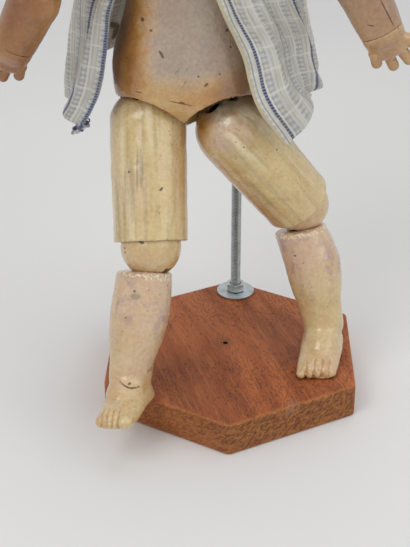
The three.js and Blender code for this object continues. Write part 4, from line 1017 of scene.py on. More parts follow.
def thigh_room(name, extra, steps=6):
    """Where a thigh passes as its hip swings: its ball, a bar for each step of the swing, and the
    wider mouth of the socket."""
    hip, start, end = JOINT[name]["hip"], THIGH_WAY[name], SITTING_WAY[name]
    radius = THIGH_RADIUS + RUN + extra
    swing = np.degrees(np.arccos(start @ end))
    axis = np.cross(start, end)
    forms = [ball(radius, hip, 96), ball(MOUTH_RADIUS + extra, hip + MOUTH[name], 96)]
    for step in range(steps + 1):
        way = axis_turn(axis, swing * step / steps) @ start
        forms.append(tube(hip, hip + way * THIGH_LENGTH * 0.8, radius, 96))
    return forms


# Pits and scratches in the skin: start, end (none for a pit), width and depth, in millimetres
TORSO_PITS = [
    ((-59.4, -24, 286.2), None, 1.3, 0.9), ((-53.5, -28, 279.6), None, 1.0, 0.7),
    ((-46.9, -33, 266.5), None, 1.2, 0.7), ((-31.4, -34, 247.2), None, 0.9, 0.6),
    ((-17.7, -33, 245.6), None, 0.9, 0.5), ((-44.0, -36, 291.0), None, 0.7, 0.4),
    ((-27.5, -36, 270.0), None, 0.6, 0.4), ((-66.5, -18, 262.0), None, 0.9, 0.4),
    ((-9.0, -30, 262.5), None, 0.8, 0.4), ((-60.5, -26, 243.0), None, 0.8, 0.4),
    ((-38.0, -37, 256.0), None, 0.5, 0.3), ((-2.5, -26, 251.0), None, 0.7, 0.4),
]
THIGH_PITS = {"left": (), "right": [((-47.3, -50, 177.6), None, 1.2, 0.5),
                                    ((-66, -47, 170), None, 0.6, 0.3)]}
KNEE_PITS = [((-60, -62, 143.7), None, 1.3, 0.5)]
ANKLE_SCRATCHES = {"right": [((-75, -92.6, 51.6), (-61.5, -92.9, 48.2), 0.7, 0.3)],
                   "left": [((63.5, -33, 45.3), (74, -33, 44.3), 0.7, 0.25)]}
FOREARM_CRACKS = [((89.8, -60, 310.5), (98.5, -60, 294.2), 0.5, 0.45),
                  ((83.7, -60, 294.8), (87.4, -60, 294.8), 0.4, 0.4)]


def wear(points, marks):
    """Depth and worn paint of pits and scratches. The depth is the sum of depth * exp(-(distance to
    the mark's line / width)^2), and the paint is the strongest of these bells, weaker where a scratch
    is shallow. A pit has no end to its line."""
    depth, worn = np.zeros(len(points)), np.zeros(len(points))
    for start, end, width, deep in marks:
        away, line = points - start, np.subtract(end or start, start)
        share = np.clip(away @ line / max(line @ line, 1e-9), 0, 1)
        bell = bump(np.linalg.norm(away - share[:, None] * line, axis=1), width)
        depth += deep * bell
        worn = np.maximum(worn, bell * (min(1.0, deep * 2.2) if end else 1))
    return depth, worn


def worn_skin(made, seed, marks, uneven):
    """Unevenness of moulded and painted composition: soft waves, and the marks given. Stores the
    paint that they wear away as `mark`, and how hollow each place is as `crease`."""
    points, normals = points_of(made), normals_of(made)
    depth, worn = wear(points, marks)
    rise = uneven * waves(points, seed, 26) + 0.35 * uneven * waves(points, seed + 1, 7)
    hollow = hollowness(made, 6)
    set_points(made, points + normals * (rise - depth)[:, None])
    attribute(made, "mark", worn)
    attribute(made, "crease", smooth(0.02, 0.3, hollow))


def limb_paint(made, at, turn, tone, warm=0.0, streak=1.0, grey=0.0, rim=0.0):
    """Stores the limb's own millimetre coordinates as `limb`, and its shade of paint."""
    attribute(made, "limb", (points_of(made) - at) @ turn)
    for name, value in (("tone", tone), ("warm", warm), ("streak", streak), ("grey", grey),
                        ("rim", rim)):
        attribute(made, name, value)


def torso_paint(points):
    """Shades of the torso: pink above, grey in front, and varnish that darkens towards its right
    side and its lowest part. The right side's brown is partly darkened varnish and partly painted
    shade. Along the left edge, next to the shirt, painted shadow of the shirt adds brown and grey.
    Each zone is a soft step of the height or of the distance across, whose place wanders with two
    sets of waves."""
    x, _, z = (points - TORSO_AT).T
    wander = 4.2 * waves(points, 5, 26) + 1.6 * waves(points, 6, 9)
    low = 1 - smooth(28, 52, z + wander - 0.18 * np.abs(x))
    band = -x + 0.09 * (z - 60) + wander
    # Right side: darkened varnish, partly painted shade
    side, flank = smooth(14, 36, band), smooth(26, 46, band)
    high = smooth(66, 88, z + wander) * smooth(26, 14, band) * smooth(4, 14, band)
    # Painted shadow of the shirt: brown and grey along the left edge
    far = smooth(6, 38, x + wander)
    warm = (0.52 * side * (1 - 0.3 * smooth(62, 92, z)) + 0.5 * flank) * (1 - 0.35 * low)
    warm = warm + 0.33 * low + 0.6 * far + 0.35 * high
    return {"tone": np.clip(0.85 - 0.8 * low - 0.35 * side, 0, 1), "warm": np.clip(warm, 0, 1.05),
            "grey": np.clip((1 - side) * (1 - low) * (1 - 0.4 * far) + 0.3 * far, 0, 1)}


def painted_limb(made, node):
    """Finishes a limb, which stands for the solid that its body is named after."""
    finish(made, node, [node], "painted_composition")


def plate(made, node, sharp_above):
    """Finishes a plain piece of plated steel on the stand."""
    crisp(made, sharp_above)
    attribute(made, "crease", 0)
    finish(made, "stand_and_torso", [node], "zinc_plate")


# Shares of dark varnish and of dulled grey on either arm and hand. The dark varnish is partly
# painted shade that darkens the arms and hands.
ARM_WARM, ARM_GREY = {"left": 0.72, "right": 0.92}, {"left": 0.45, "right": 0}
HAND_WARM, HAND_GREY = {"left": 0.5, "right": 0.85}, {"left": 0.35, "right": 0}


# Limbs

def slot_tubes(name):
    """Round bars that cut the slot in the top of a thigh, one for each step of its swing."""
    axis = np.cross(THIGH_WAY[name], SITTING_WAY[name])
    pull = unit(HOOK - JOINT[name]["hip"])
    hip = JOINT[name]["hip"]
    for step in range(9):
        way = axis_turn(axis, -HIP_SWING[name] * step / 8) @ pull
        yield tube(hip, hip + way * (THIGH_RADIUS + 4), SLOT_WIDTH / 2)


def thigh_form():
    """Thigh: a turned shell, ball-ended above and with a seat for the knee ball below."""
    rim = -(THIGH_LENGTH - KNEE_OUT)
    seat = KNEE_RADIUS + RUN
    seat_angle = np.degrees(np.arcsin(KNEE_OUT / seat))
    inner = THIGH_RADIUS - WALL - 1
    outline = np.vstack([
        arc(THIGH_RADIUS, 0, 76, 0, 40), [(THIGH_RADIUS - 0.1, rim * 0.4), (THIGH_RIM, rim + 0.9),
                                          (THIGH_RIM - 0.8, rim)],
        arc(seat, -THIGH_LENGTH, seat_angle, 62, 24), [(inner, rim + 26)],
        arc(inner, 0, 0, 73.5, 30)])
    return lathe(eased(outline, ease=0.7, step=1.3), 112)


def fan_form(reach, width, start, end):
    """Fan-shaped slot in the limb's own front-to-back plane, between two angles that are measured
    from straight down to the front."""
    a = np.radians(np.linspace(start, end, 24))
    rim = np.stack([-np.sin(a), -np.cos(a)], -1) * reach
    spread = np.radians([start - 90, end + 90])
    back, front = np.stack([-np.sin(spread), -np.cos(spread)], -1) * width / 2
    flat = np.vstack([back, rim + np.linspace(back, front, 24), front])
    grid = np.stack([np.column_stack([np.full(len(flat), x), flat]) for x in (-width / 2, width / 2)])
    return shell(grid)


def drilled_ball(name, radius, at, turn, pull, start, end):
    """Ball between two limbs, with a bore for the elastic above and a slot for it below."""
    made = mesh_object(name, [placed(ball(radius, around=96), at, turn)])
    bore = tube(-pull * (ELASTIC_RADIUS + 1), pull * (radius + 2), BALL_BORE)
    slot = fan_form(radius + 2, 2 * BALL_BORE, start, end)
    combine(made, [placed(form, at, turn) for form in (bore, slot)])
    return made


CALF = SHIN_LENGTH - SHIN_RIM_DROP
# Drop below the knee, half width, half depth, shift outwards and backwards
shin_at = through([
    (SHIN_RIM_DROP - 0.6, SHIN_RIM - 4.6, SHIN_RIM - 4.6, 0, 0),
    (SHIN_RIM_DROP - 0.2, SHIN_RIM - 2.2, SHIN_RIM - 2.2, 0, 0),
    (SHIN_RIM_DROP + 0.5, SHIN_RIM - 0.6, SHIN_RIM - 0.6, 0, 0),
    (SHIN_RIM_DROP + 1.5, SHIN_RIM, SHIN_RIM, 0, 0),
    (SHIN_RIM_DROP + CALF * 0.16, CALF_RADIUS - 0.8, CALF_RADIUS - 0.4, 0.4, 1),
    (SHIN_RIM_DROP + CALF * 0.37, CALF_RADIUS, CALF_RADIUS + 0.2, 0.6, 1.6),
    (SHIN_RIM_DROP + CALF * 0.61, CALF_RADIUS - 1.6, CALF_RADIUS - 1.4, 0.6, 1.2),
    (SHIN_RIM_DROP + CALF * 0.81, ANKLE_RADIUS + 1.4, ANKLE_RADIUS + 1, 0.4, 0.2),
    (SHIN_RIM_DROP + CALF * 0.95, ANKLE_RADIUS + 0.8, ANKLE_RADIUS + 1.2, 0.2, 0.9),
    (SHIN_LENGTH + 3, ANKLE_RADIUS + 0.4, ANKLE_RADIUS + 1.8, 0, 1.9),
    (SHIN_LENGTH + 9, ANKLE_RADIUS - 1.5, ANKLE_RADIUS + 0.6, 0, 2.6),
    (SHIN_LENGTH + 13, ANKLE_RADIUS - 6, ANKLE_RADIUS - 4, 0, 3.2),
])
# Distance from the heel as a share of the foot's length, half width, height, shift inwards
foot_at = through([(FOOT_LENGTH * share, *sizes) for share, *sizes in (
    (0, 6, 12, 0), (0.05, 11.5, 17, 0), (0.19, FOOT_WIDTH / 2, 22.5, -0.4),
    (0.38, FOOT_WIDTH / 2 + 0.4, 22.5, -0.6), (0.56, FOOT_WIDTH / 2 + 0.2, 17.5, 0),
    (0.74, FOOT_WIDTH / 2, 13, 0.6), (0.88, FOOT_WIDTH / 2 - 0.6, 11, 1),
    (0.94, FOOT_WIDTH / 2 - 1.6, 9, 1.3), (0.97, FOOT_WIDTH / 2 - 4, 6.6, 1.8))])


def shin_form(name):
    """Calf: oval rings from the rim to the ankle. Near the rim they shift and slope to follow how
    each leg was cut by hand."""
    sign = SIGN[name]
    drop = np.linspace(SHIN_RIM_DROP - 0.6, SHIN_LENGTH + 13, 150)[:, None]
    t = full_turn(110)
    across, fore, out, back = shin_at(drop)
    fade = np.maximum(0, 1 - (drop - SHIN_RIM_DROP) / 26)
    x = np.cos(t) * across
    z = -drop + RIM_TILT[name] * fade * x
    return shell(np.stack([x + sign * (out + RIM_SHIFT[name] * fade), np.sin(t) * fore + back, z], -1))


def foot_form(sign):
    """Foot: oval rings from heel to toes, 0.28 of their height below the widest place. They reach
    down to one level, but for the last 4 mm of the heel, which rise by half as much."""
    along = np.linspace(0, FOOT_LENGTH * 0.97, 90)[:, None]
    t = full_turn(90)
    half, tall, inside = foot_at(along)
    low = -ANKLE_HEIGHT + np.maximum(4 - along, 0) * 0.5
    s = np.sin(t)
    height = np.where(s > 0, 0.72 * tall * s, 0.28 * tall * s)
    z = low + 0.28 * tall + height
    return shell(np.stack([np.cos(t) * half - sign * inside, HEEL_BACK - along + 0 * t, z], -1))


def toe_places(sign):
    """Each toe's middle across, its tip, radius and flatness, from the big toe outwards. The left
    foot's toes are nearly even, the right foot's big toe is broad."""
    if sign > 0:
        middles, radii = (-11.4, -5.5, 0.4, 5.9, 10.7), (3.7, 3.3, 3.2, 3.0, 2.8)
    else:
        middles, radii = (-9.4, -3.2, 1.1, 5.4, 9.7), (5.4, 3.2, 3.1, 3.0, 2.9)
    for index, (across, radius) in enumerate(zip(middles, radii)):
        tip = FOOT_LENGTH - HEEL_BACK + 2 - radius - (0.5 + 0.34 * index * index) * (index > 0)
        yield sign * across, -tip, radius, 0.85 if index == 0 else 1.05


def toe_forms(sign):
    """Toes: round bars with half-sphere ends, laid along the foot, and an egg for the instep."""
    for across, tip, radius, flat in toe_places(sign):
        form = turned(capsule(radius, 12), axis_turn((1, 0, 0), 90))
        yield moved(scaled(moved(form, (0, 6, 0)), 1, 1, flat),
                    (across, tip, -ANKLE_HEIGHT + radius * flat + 0.02))
    instep = turned(scaled(ball(1, around=72), 13.6, 21, 12.4), axis_turn((1, 0, 0), 24))
    yield moved(instep, (sign * 0.6, -9.5, -ANKLE_HEIGHT + 13.4))


def toe_grooves(local, sign):
    """Depth of the grooves between the toes: 0.9 * bell of the distance across, from the webs of
    the toes forwards, and of each nail's outline: 0.22 * bell of the distance to an oval."""
    x, y, z = local.T
    places = list(toe_places(sign))
    depth = np.zeros(len(x))
    for (inner, tip, radius, _), (outer, far_tip, other, _) in zip(places, places[1:]):
        middle = (inner + sign * radius + outer - sign * other) / 2
        web = (tip + far_tip) / 2 - radius * 0.5 - other * 0.5 + 13.5
        forward = smooth(web, web - 5, y) * smooth(-ANKLE_HEIGHT + 0.6, -ANKLE_HEIGHT + 2, z)
        depth += 0.9 * bump(x - middle, 0.8) * forward
    for across, tip, radius, flat in places:
        reach = np.hypot((x - across) / (radius * 0.62), (y - tip + radius * 0.1) / (radius * 0.75))
        top = z > -ANKLE_HEIGHT + radius * flat
        depth += np.where(top, 0.22 * bump(reach - 1, 0.22), 0)
    return depth


def foot_turn(name):
    """Turn of the foot against the shin, as it is on the standing leg, mirrored for the other."""
    shin = limb_turn(SHIN_WAY["left"], FOOT_WAY["left"])
    foot = limb_turn(vec(0, 0, -1), FOOT_WAY["left"])
    turn = shin.T @ foot
    mirror = np.diag([-1.0, 1.0, 1.0])
    return turn if name == "left" else mirror @ turn @ mirror


def upper_arm_form():
    """Upper arm: a turned shell with a ball seat at each end."""
    rim = -(UPPER_ARM_LENGTH - ELBOW_OUT)
    top, low = SHOULDER_RADIUS + RUN, ELBOW_RADIUS + RUN
    top_angle, low_angle = np.degrees(np.arcsin([ARM_RIM_DROP / top, ELBOW_OUT / low]))
    outline = np.vstack([
        arc(top, 0, -top_angle, -62, 16), [(LIMB_BORE, -ARM_RIM_DROP - 9), (LIMB_BORE, rim + 8)],
        arc(low, -UPPER_ARM_LENGTH, 58, low_angle, 16),
        [(ELBOW_RIM, rim), (ELBOW_RIM + 2.2, rim + 3), (UPPER_ARM_RADIUS - 0.2, rim * 0.8),
         (UPPER_ARM_RADIUS + 0.4, rim * 0.62), (UPPER_ARM_RADIUS, rim * 0.36),
         (UPPER_ARM_RADIUS - 0.6, -ARM_RIM_DROP - 3), (UPPER_ARM_RADIUS - 2, -ARM_RIM_DROP)]])
    return lathe(eased(outline, ease=2.2, step=1.2), 84)


def forearm_form():
    """Forearm: a turned shell, fuller below the elbow, with a ball seat at each end."""
    rim = -(FOREARM_LENGTH - 4)
    top, low = ELBOW_RADIUS + RUN, WRIST_RADIUS + RUN
    top_angle, low_angle = np.degrees(np.arcsin([FOREARM_RIM_DROP / top, 4 / low]))
    outline = np.vstack([
        arc(top, 0, -top_angle, -60, 16),
        [(LIMB_BORE - 1, -FOREARM_RIM_DROP - 6), (LIMB_BORE - 1, rim + 6)],
        arc(low, -FOREARM_LENGTH, 55, low_angle, 12),
        [(WRIST_RIM - 0.5, rim), (WRIST_RIM - 0.1, rim + 0.4), (WRIST_RIM + 1, rim + 11),
         (FOREARM_RADIUS - 1.2, rim + 24), (FOREARM_RADIUS, -FOREARM_RIM_DROP - 14),
         (FOREARM_RADIUS - 1.6, -FOREARM_RIM_DROP - 6), (ELBOW_RIM - 0.7, -FOREARM_RIM_DROP)]])
    return lathe(eased(outline, ease=2.0, step=1.1), 84)


def finger(radius, length, hang, bend, lean, at):
    """Round bar that hangs down by a distance, is bent and leaned by degrees, and then moved."""
    form = moved(capsule(radius, length, 24), (0, 0, -hang))
    form = turned(turned(form, axis_turn((1, 0, 0), bend)), axis_turn((0, 1, 0), lean))
    return moved(form, at)


def hand_forms(sign):
    """Hand: wrist ball, a cuff that widens into the cupped palm, four fingers that spread and bend,
    and a thumb."""
    yield ball(WRIST_RADIUS, around=48)
    cuff = eased([(0, 7), (13.8, 7), (13.7, 0), (12.9, -5), (9.5, -10), (0, -11)], ease=0.7,
                 step=1, ring=False)
    points, quads, fans = lathe(cuff, 64)
    flat = 0.97 - 0.42 * smooth(3, -11, points[:, 2])
    yield points * np.stack([np.ones_like(flat), flat, np.ones_like(flat)], -1), quads, fans
    yield moved(scaled(ball(1, around=56), PALM_WIDTH / 2 - 1.6, PALM_THICK / 2, 7.5), (0, 0, -7.5))
    for index in range(4):
        share = index / 3 - 0.5
        long = FINGER_LENGTH + 7 - 3 * abs(share + 0.2) - 5.5 * (index == 3)
        yield finger(FINGER_RADIUS + 0.2 - 0.1 * index, long, long / 2, 15,
                     np.degrees(sign * (share * 0.6 - 0.08)),
                     (sign * (1.6 - share * (PALM_WIDTH - 8.0)), -0.6, -8.0))
    yield finger(FINGER_RADIUS + 0.5, FINGER_LENGTH + 1, FINGER_LENGTH / 2, 17.2,
                 np.degrees(-sign * 0.8), (sign * (PALM_WIDTH / 2 - 4.5), -1, -6.5))


# Head

# Height above the head's middle, half width, depth in front and behind
head_at = through([
    (-HEAD_HEIGHT * 0.5, 12, 16, 12), (-HEAD_HEIGHT * 0.47, 19, 30, 17),
    (-HEAD_HEIGHT * 0.4, 27, 38, 24), (-HEAD_HEIGHT * 0.28, 34, 40.5, 33),
    (-HEAD_HEIGHT * 0.13, 38, 41, 40),
    (0.02, HEAD_WIDTH / 2 - 0.5, HEAD_DEPTH * 0.445, HEAD_DEPTH * 0.49),
    (HEAD_HEIGHT * 0.15, HEAD_WIDTH / 2, HEAD_DEPTH * 0.455, HEAD_DEPTH * 0.51),
    (HEAD_HEIGHT * 0.3, 36.5, 37, 41), (HEAD_HEIGHT * 0.42, 26, 26, 29),
    (HEAD_HEIGHT * 0.48, 14, 14, 15), (HEAD_HEIGHT * 0.5, 3, 3, 3),
])

# Raised and sunk features of the face: across, height, spread across, spread up, rise. Those off
# the middle are there twice, once on each side.
FACE = {
    "nose": [(0, -1, 3.8, 9, 2.4), (0, -9, 4.6, 6.5, 3.8), (0, -12.4, 3.2, 3, 2.6),
             (3.9, -13.8, 1.9, 2.1, 1.5), (1.9, -15.6, 1.0, 0.8, -1.2)],
    "mouth": [(0, -19.2, 1.3, 2.6, -0.45), (2.7, -22.9, 2.8, 1.35, 1.5), (0, -23.5, 1.6, 1.2, 0.6),
              (0, -25.0, 6.4, 0.6, -1.2), (0, -27.0, 4.2, 1.7, 1.9), (0, -30.6, 6, 2.2, -0.9),
              (7.4, -25.2, 1.6, 1.4, -0.5)],
    "chin": [(0, -38.5, 8.5, 6, 3.0)],
    "cheeks": [(19, -18, 11, 11, 2.2)],
    "brows": [(15, 4, 9.5, 6.5, -2.8), (14, 13, 9, 4, 0.8)],
}
LID_THICK, LIPS_HALF, LIPS_LEVEL = 1.25, 7.4, -25


def eye_centre(sign):
    """Middle of an eye: half the spacing to the side, and its radius behind the face."""
    return HEAD + vec(sign * EYE_SPACING / 2, EYE_RADIUS + 4.2 - HEAD_DEPTH * 0.445, 3)


def face_rise(x, z, front):
    """Sum of the face's bells: rise * exp(-(across / spread)^2 - (up / spread)^2)."""
    total = np.zeros(np.broadcast(x, z).shape)
    for rows in FACE.values():
        for middle, height, wide, tall, rise in rows:
            for side in ((1, -1) if middle else (1,)):
                total += rise * bump(x - side * middle, wide) * bump(z - height, tall)
    return total * np.clip(-front * 1.5, 0, 1)


def head_radius(c, s, height, features):
    """Distance from the head's upright axis in the direction (c, s). The eyelids are where a ball
    round each eye stands out of the face, with k log(exp(a / k) + exp(b / k)) for a soft edge."""
    half, front, back = head_at(height)
    radius = section_radius(c, s, half, front, back, 2.15)
    if not features:
        return radius
    radius = radius + np.where(s < 0, face_rise(c * radius, height, s), 0)
    for sign in (1, -1):
        x, y, z = eye_centre(sign) - HEAD
        reach = c * x + s * y
        inside = reach ** 2 - (x * x + y * y + (height - z) ** 2 - (EYE_RADIUS + RUN + LID_THICK) ** 2)
        lid = np.where(inside > 0, reach + np.sqrt(np.maximum(inside, 0)), 0)
        radius = np.where((lid > 0) & (s < 0), 0.7 * np.logaddexp(radius / 0.7, lid / 0.7), radius)
    return radius


def head_form(grow=0.0, features=False, around=120, rows=100):
    """Head: rings whose heights are -cos(a), closer together at the top and bottom, with more
    points towards the face: angle = u - 0.45 sin(u) from the front."""
    a = np.linspace(0.01, np.pi - 0.01, rows)[:, None]
    height = -np.cos(a) * HEAD_HEIGHT / 2
    u = full_turn(around)
    t = u - 0.45 * np.sin(u) - np.pi / 2
    radius = head_radius(np.cos(t), np.sin(t), height, features) + grow * np.sin(a)
    return moved(shell(rings(radius, t, height - grow * np.cos(a))), HEAD)


def block(x, y, z):
    """Oblong block round the origin."""
    flat = np.array([(-x, -y), (x, -y), (x, y), (-x, y)], float) / 2
    return shell(np.stack([np.column_stack([flat, np.full(4, level)]) for level in (-z / 2, z / 2)]))


def crown_block():
    """What lies over the slanting edge of the crown opening."""
    form = turned(block(HEAD_WIDTH * 2, HEAD_DEPTH * 2, HEAD_HEIGHT), axis_turn((1, 0, 0), -17.19))
    return moved(form, HEAD + vec(0, 0, CROWN_CUT + HEAD_HEIGHT / 2 + 6))


def eye_opening(sign):
    """Almond: half width cos(t), half height sin(t) |sin(t)|^0.25, less high below, with its outer
    corner a little higher, carried from the front into the head."""
    t = full_turn(72)
    x = EYE_SLOT_WIDTH / 2 * np.cos(t)
    z = EYE_SLOT_HEIGHT / 2 * np.sin(t) * np.abs(np.sin(t)) ** 0.25 + 0.06 * sign * x
    z = np.where(z > 0, z, z * 0.82)
    grid = np.stack([np.column_stack([x, np.full(72, y), z]) for y in (-22.0, -1.0)])
    return moved(shell(grid), eye_centre(sign))


def neck_form():
    """Ball-ended neck under the head."""
    outline = np.vstack([arc(NECK_RADIUS, 0, -90, -8, 28), [(NECK_RADIUS - 1, 3), (17.6, 12),
                                                             (18.4, 24), (0, 24)]])
    outline[0, 0] = 0
    return moved(lathe(outline, 120), NECK)


def scalp_point(t, height, grow):
    """Point over the scalp at an angle round the head and a height from its middle."""
    reach = np.clip(height / (HEAD_HEIGHT / 2), -1, 1)
    inside = np.clip(height, -SCALP_END, SCALP_END)
    radius = head_radius(np.cos(t), np.sin(t), inside, False) + grow * np.sqrt(1 - reach ** 2)
    return rings(radius, t, height + grow * reach) + HEAD


def lock_forms(rng, count):
    """Locks of hair: each is a flattened round bar, thin at both ends, that runs down from the crown.
    Its path bends away from the face and curls in at its end: angle = start + drift * u^1.5 + a
    small sine wave, height = top + (end - top) * u^1.12, and it stays above the hairline, which is
    an arch over the brow and slopes down at the temples."""
    u = np.linspace(0, 1, 15)
    section = circle(1, 6)
    for start in rng.permutation(np.linspace(-np.pi, np.pi, count, endpoint=False)):
        face = abs(start) < np.radians(64)
        drift = (np.sign(start) or 1.0) * (np.radians(74) - abs(start)) if face else 0.0
        drift += rng.normal(0, 0.05)
        top = rng.uniform(40, 51)
        end = NAPE + rng.uniform(0, 5)
        t = start + drift * u ** 1.5 + 0.035 * np.sin(u * rng.uniform(5, 11) + rng.uniform(0, 6))
        height = top + (end - top) * u ** 1.12
        grow = WIG_INSIDE + WIG_LAYER + rng.uniform(-0.7, 0.8) - 3.2 * smooth(0.86, 1, u)
        aside = np.abs(t)
        brow = -12 + 42 * np.sqrt(np.clip(1 - (np.sin(aside) * 46 / 31) ** 2, 0, 1))
        temple = -12 - 30 * smooth(np.radians(42), np.radians(72), aside)
        line = np.where(aside < np.radians(42), brow, temple) + 1.5 + rng.uniform(0, 4)
        height = np.where(aside < np.radians(72), np.maximum(height, line), height)
        path = scalp_point(t - np.pi / 2, height, grow)
        wide = rng.uniform(1.5, 2.5) * np.sin(np.pi * np.clip(u * 0.93 + 0.05, 0, 1)) ** 0.5 + 0.12
        out = unit_rows(path - HEAD)
        side = unit_rows(np.cross(unit_rows(np.gradient(path, axis=0)), out))
        ring = section * wide[:, None, None]
        yield shell(path[:, None] + side[:, None] * ring[..., :1] + out[:, None] * ring[..., 1:] * 0.5)


# Shirt

# Share of the way down, height above the hips, half width, depth in front and behind, angle from
# the front to the right and to the left edge, depth of the pleats
SHIRT_ROWS = (
    (0, 165.5, 26.3, 23.5, 24.0, 26, 26, 0), (0.07, 161, 29.4, 23.9, 24.9, 29, 24, 0),
    (0.13, 156, 35.3, 26.3, 27.9, 32, 21, 0), (0.19, 150.5, 42.9, 30.9, 37, 35, 17, 0.5),
    (0.28, 139, 58, 40, 72, 40, 12, 1.2), (0.4, 117, 66, 45, 105, 46, 14, 1.6),
    (0.54, 90, 73, 47, 108, 54, 25, 2.2), (0.68, 62, 78, 49, 108, 57, 38, 2.8),
    (0.84, 28, 83, 53, 108, 61, 46, 3.4), (1, -1, 85, 56, 108, 72, 62, 3.8),
)
shirt_at = through(SHIRT_ROWS)
SHIRT_FOLDS, SHIRT_HEM_RISE, SHIRT_GRID, ARMHOLE_NEAR = 11, 30, (310, 135), 0.7
KNOT_AT, KNOT_WAY, KNOT_LOOPS, THREAD_RADIUS = vec(-102.6, -21, 210.3), vec(4.2, 0, 3.2), 30, 0.55


def shirt_surface(across, down):
    """Open shirt: across runs from 0 at its right front edge to 1 at its left, down from 0 at the
    neck to 1 at the hem. At each height it is a rounded-square section with pleats, r = section +
    fold * sin(pleats * across + 1.3 sin(5 down)), and the hem rises towards the back. Finer folds
    hang from the shoulders: sin(23 across + 2 sin(3 down)) and sin(41 across) grow downwards."""
    height, half, front, back, right, left, fold = shirt_at(down)
    start, end = np.radians(right), np.radians(360 - left)
    angle = start + (end - start) * across
    c, s = -np.sin(angle), -np.cos(angle)
    wave = across * SHIRT_FOLDS * 2 * np.pi
    pleat = fold * np.sin(wave + 1.3 * np.sin(down * 5))
    loose = smooth(0.12, 0.6, down)
    pleat = pleat + 0.9 * loose * np.sin(wave * 2.1 + 2 * np.sin(3 * down) + 1)
    pleat = pleat + 0.4 * loose * np.sin(wave * 3.7 + 6 * down)
    sway = np.clip((down - 0.1) / 0.2, 0, 1)
    squareness = TORSO_SQUARENESS + (np.where(s > 0, 2.4, 2.0) - TORSO_SQUARENESS) * sway
    radius = section_radius(c, s, half, front, back, squareness) + pleat
    behind = np.maximum(0, -np.cos(angle)) ** 1.5 + 0.15 * np.abs(c)
    lift = SHIRT_HEM_RISE * behind * down ** 3
    lift = lift + 21 * smooth(0.01, 0.075, 1 - across) * smooth(0.30, 0.12, 1 - across) * down ** 4
    lift = lift + 6 * smooth(0.0, 0.06, across) * smooth(0.2, 0.1, across) * down ** 4
    lift = lift - 7 * smooth(0.93, 1.0, across) * down ** 8
    x = DOLL_X + 1.5 * sway + c * radius
    y = TORSO_BACK - 3 * sway + s * radius
    grid = np.stack([x, y, HIP_HEIGHT + height * TORSO_STRETCH + lift], -1)
    flat = grid.reshape(-1, 3)
    ruffle = 0.5 * waves(flat, 81, 17, 12) + 0.25 * waves(flat, 82, 8, 12)
    outward = np.stack([c, s, 0 * c], -1)
    return grid + outward * (ruffle.reshape(c.shape) * loose)[..., None]


# A brown stain on the inside of the back, at its right: start, end, width and strength
STAIN_LINES = [((-90.5, 86, 248), (-85.5, 89, 245), 3.0, 1.0),
               ((-89.5, 88, 238), (-86, 89.5, 243), 2.6, 1.0),
               ((-88.5, 88.5, 242), (-86.5, 90, 242), 2.4, 1.0)]


def arm_distance(points, name):
    """Distance from the points to the middle line of an upper arm."""
    shoulder, way = JOINT[name]["shoulder"], UPPER_ARM_WAY[name]
    share = np.clip((points - shoulder) @ way, 0, UPPER_ARM_LENGTH + 40)
    line = shoulder + share[..., None] * way
    return np.linalg.norm(points - line, axis=-1), line


def with_armholes(grid):
    """The cloth's grid with the points near an armhole's edge moved onto it, and which of its cells
    are kept: those with no corner inside an armhole."""
    kept = np.ones(np.subtract(grid.shape[:2], 1), bool)
    for name in SIDES:
        away, line = arm_distance(grid, name)
        inner = away < ARMHOLE_RADIUS - ARMHOLE_NEAR
        kept &= ~cells_of(inner).any(-1)
        near = (away < ARMHOLE_RADIUS + ARMHOLE_NEAR) & ~inner
        spot = line + (grid - line) / away[..., None] * ARMHOLE_RADIUS
        grid = np.where(near[..., None], spot, grid)
    return grid, kept


def cloth_measures(grid):
    """How far each grid point is along the cloth from the nearer front edge, and from the top: sums
    of the grid's steps, those downwards being the mean of their row."""
    pace = np.linalg.norm(np.diff(grid, axis=1), axis=-1)
    from_right = np.concatenate([np.zeros((len(grid), 1)), np.cumsum(pace, 1)], 1)
    from_edge = np.minimum(from_right, from_right[:, -1:] - from_right)
    fall = np.linalg.norm(np.diff(grid, axis=0), axis=-1).mean(1)
    return from_edge, np.concatenate([[0], np.cumsum(fall)])[:, None] + 0 * from_edge


def knot_forms():
    """Loose thread: small loops (cos t, sin t, sin(t + tilt)), each turned about the front-to-back
    axis and strewn along a short line."""
    rng = np.random.default_rng(7)
    t = np.linspace(0, 2 * np.pi, 13)
    for _ in range(KNOT_LOOPS):
        tilt = rng.uniform(-1.2, 1.2, 3)
        loop = np.stack([np.cos(t), np.sin(t), np.sin(t + tilt[0])], -1)
        loop = loop * (1.9, 1.2, 1.5) @ axis_turn((0, 1, 0), 60 * tilt[1])
        along = rng.uniform(-1, 1)
        path = loop + KNOT_AT + along * KNOT_WAY + rng.uniform(-1, 1, 3) * (1.0, 0.8, 1.0)
        yield sweep(path, circle(THREAD_RADIUS, 7))


def cells_of(grid):
    """The four corners of each cell of a grid, in order round it."""
    return np.stack([grid[:-1, :-1], grid[:-1, 1:], grid[1:, 1:], grid[1:, :-1]], -1)


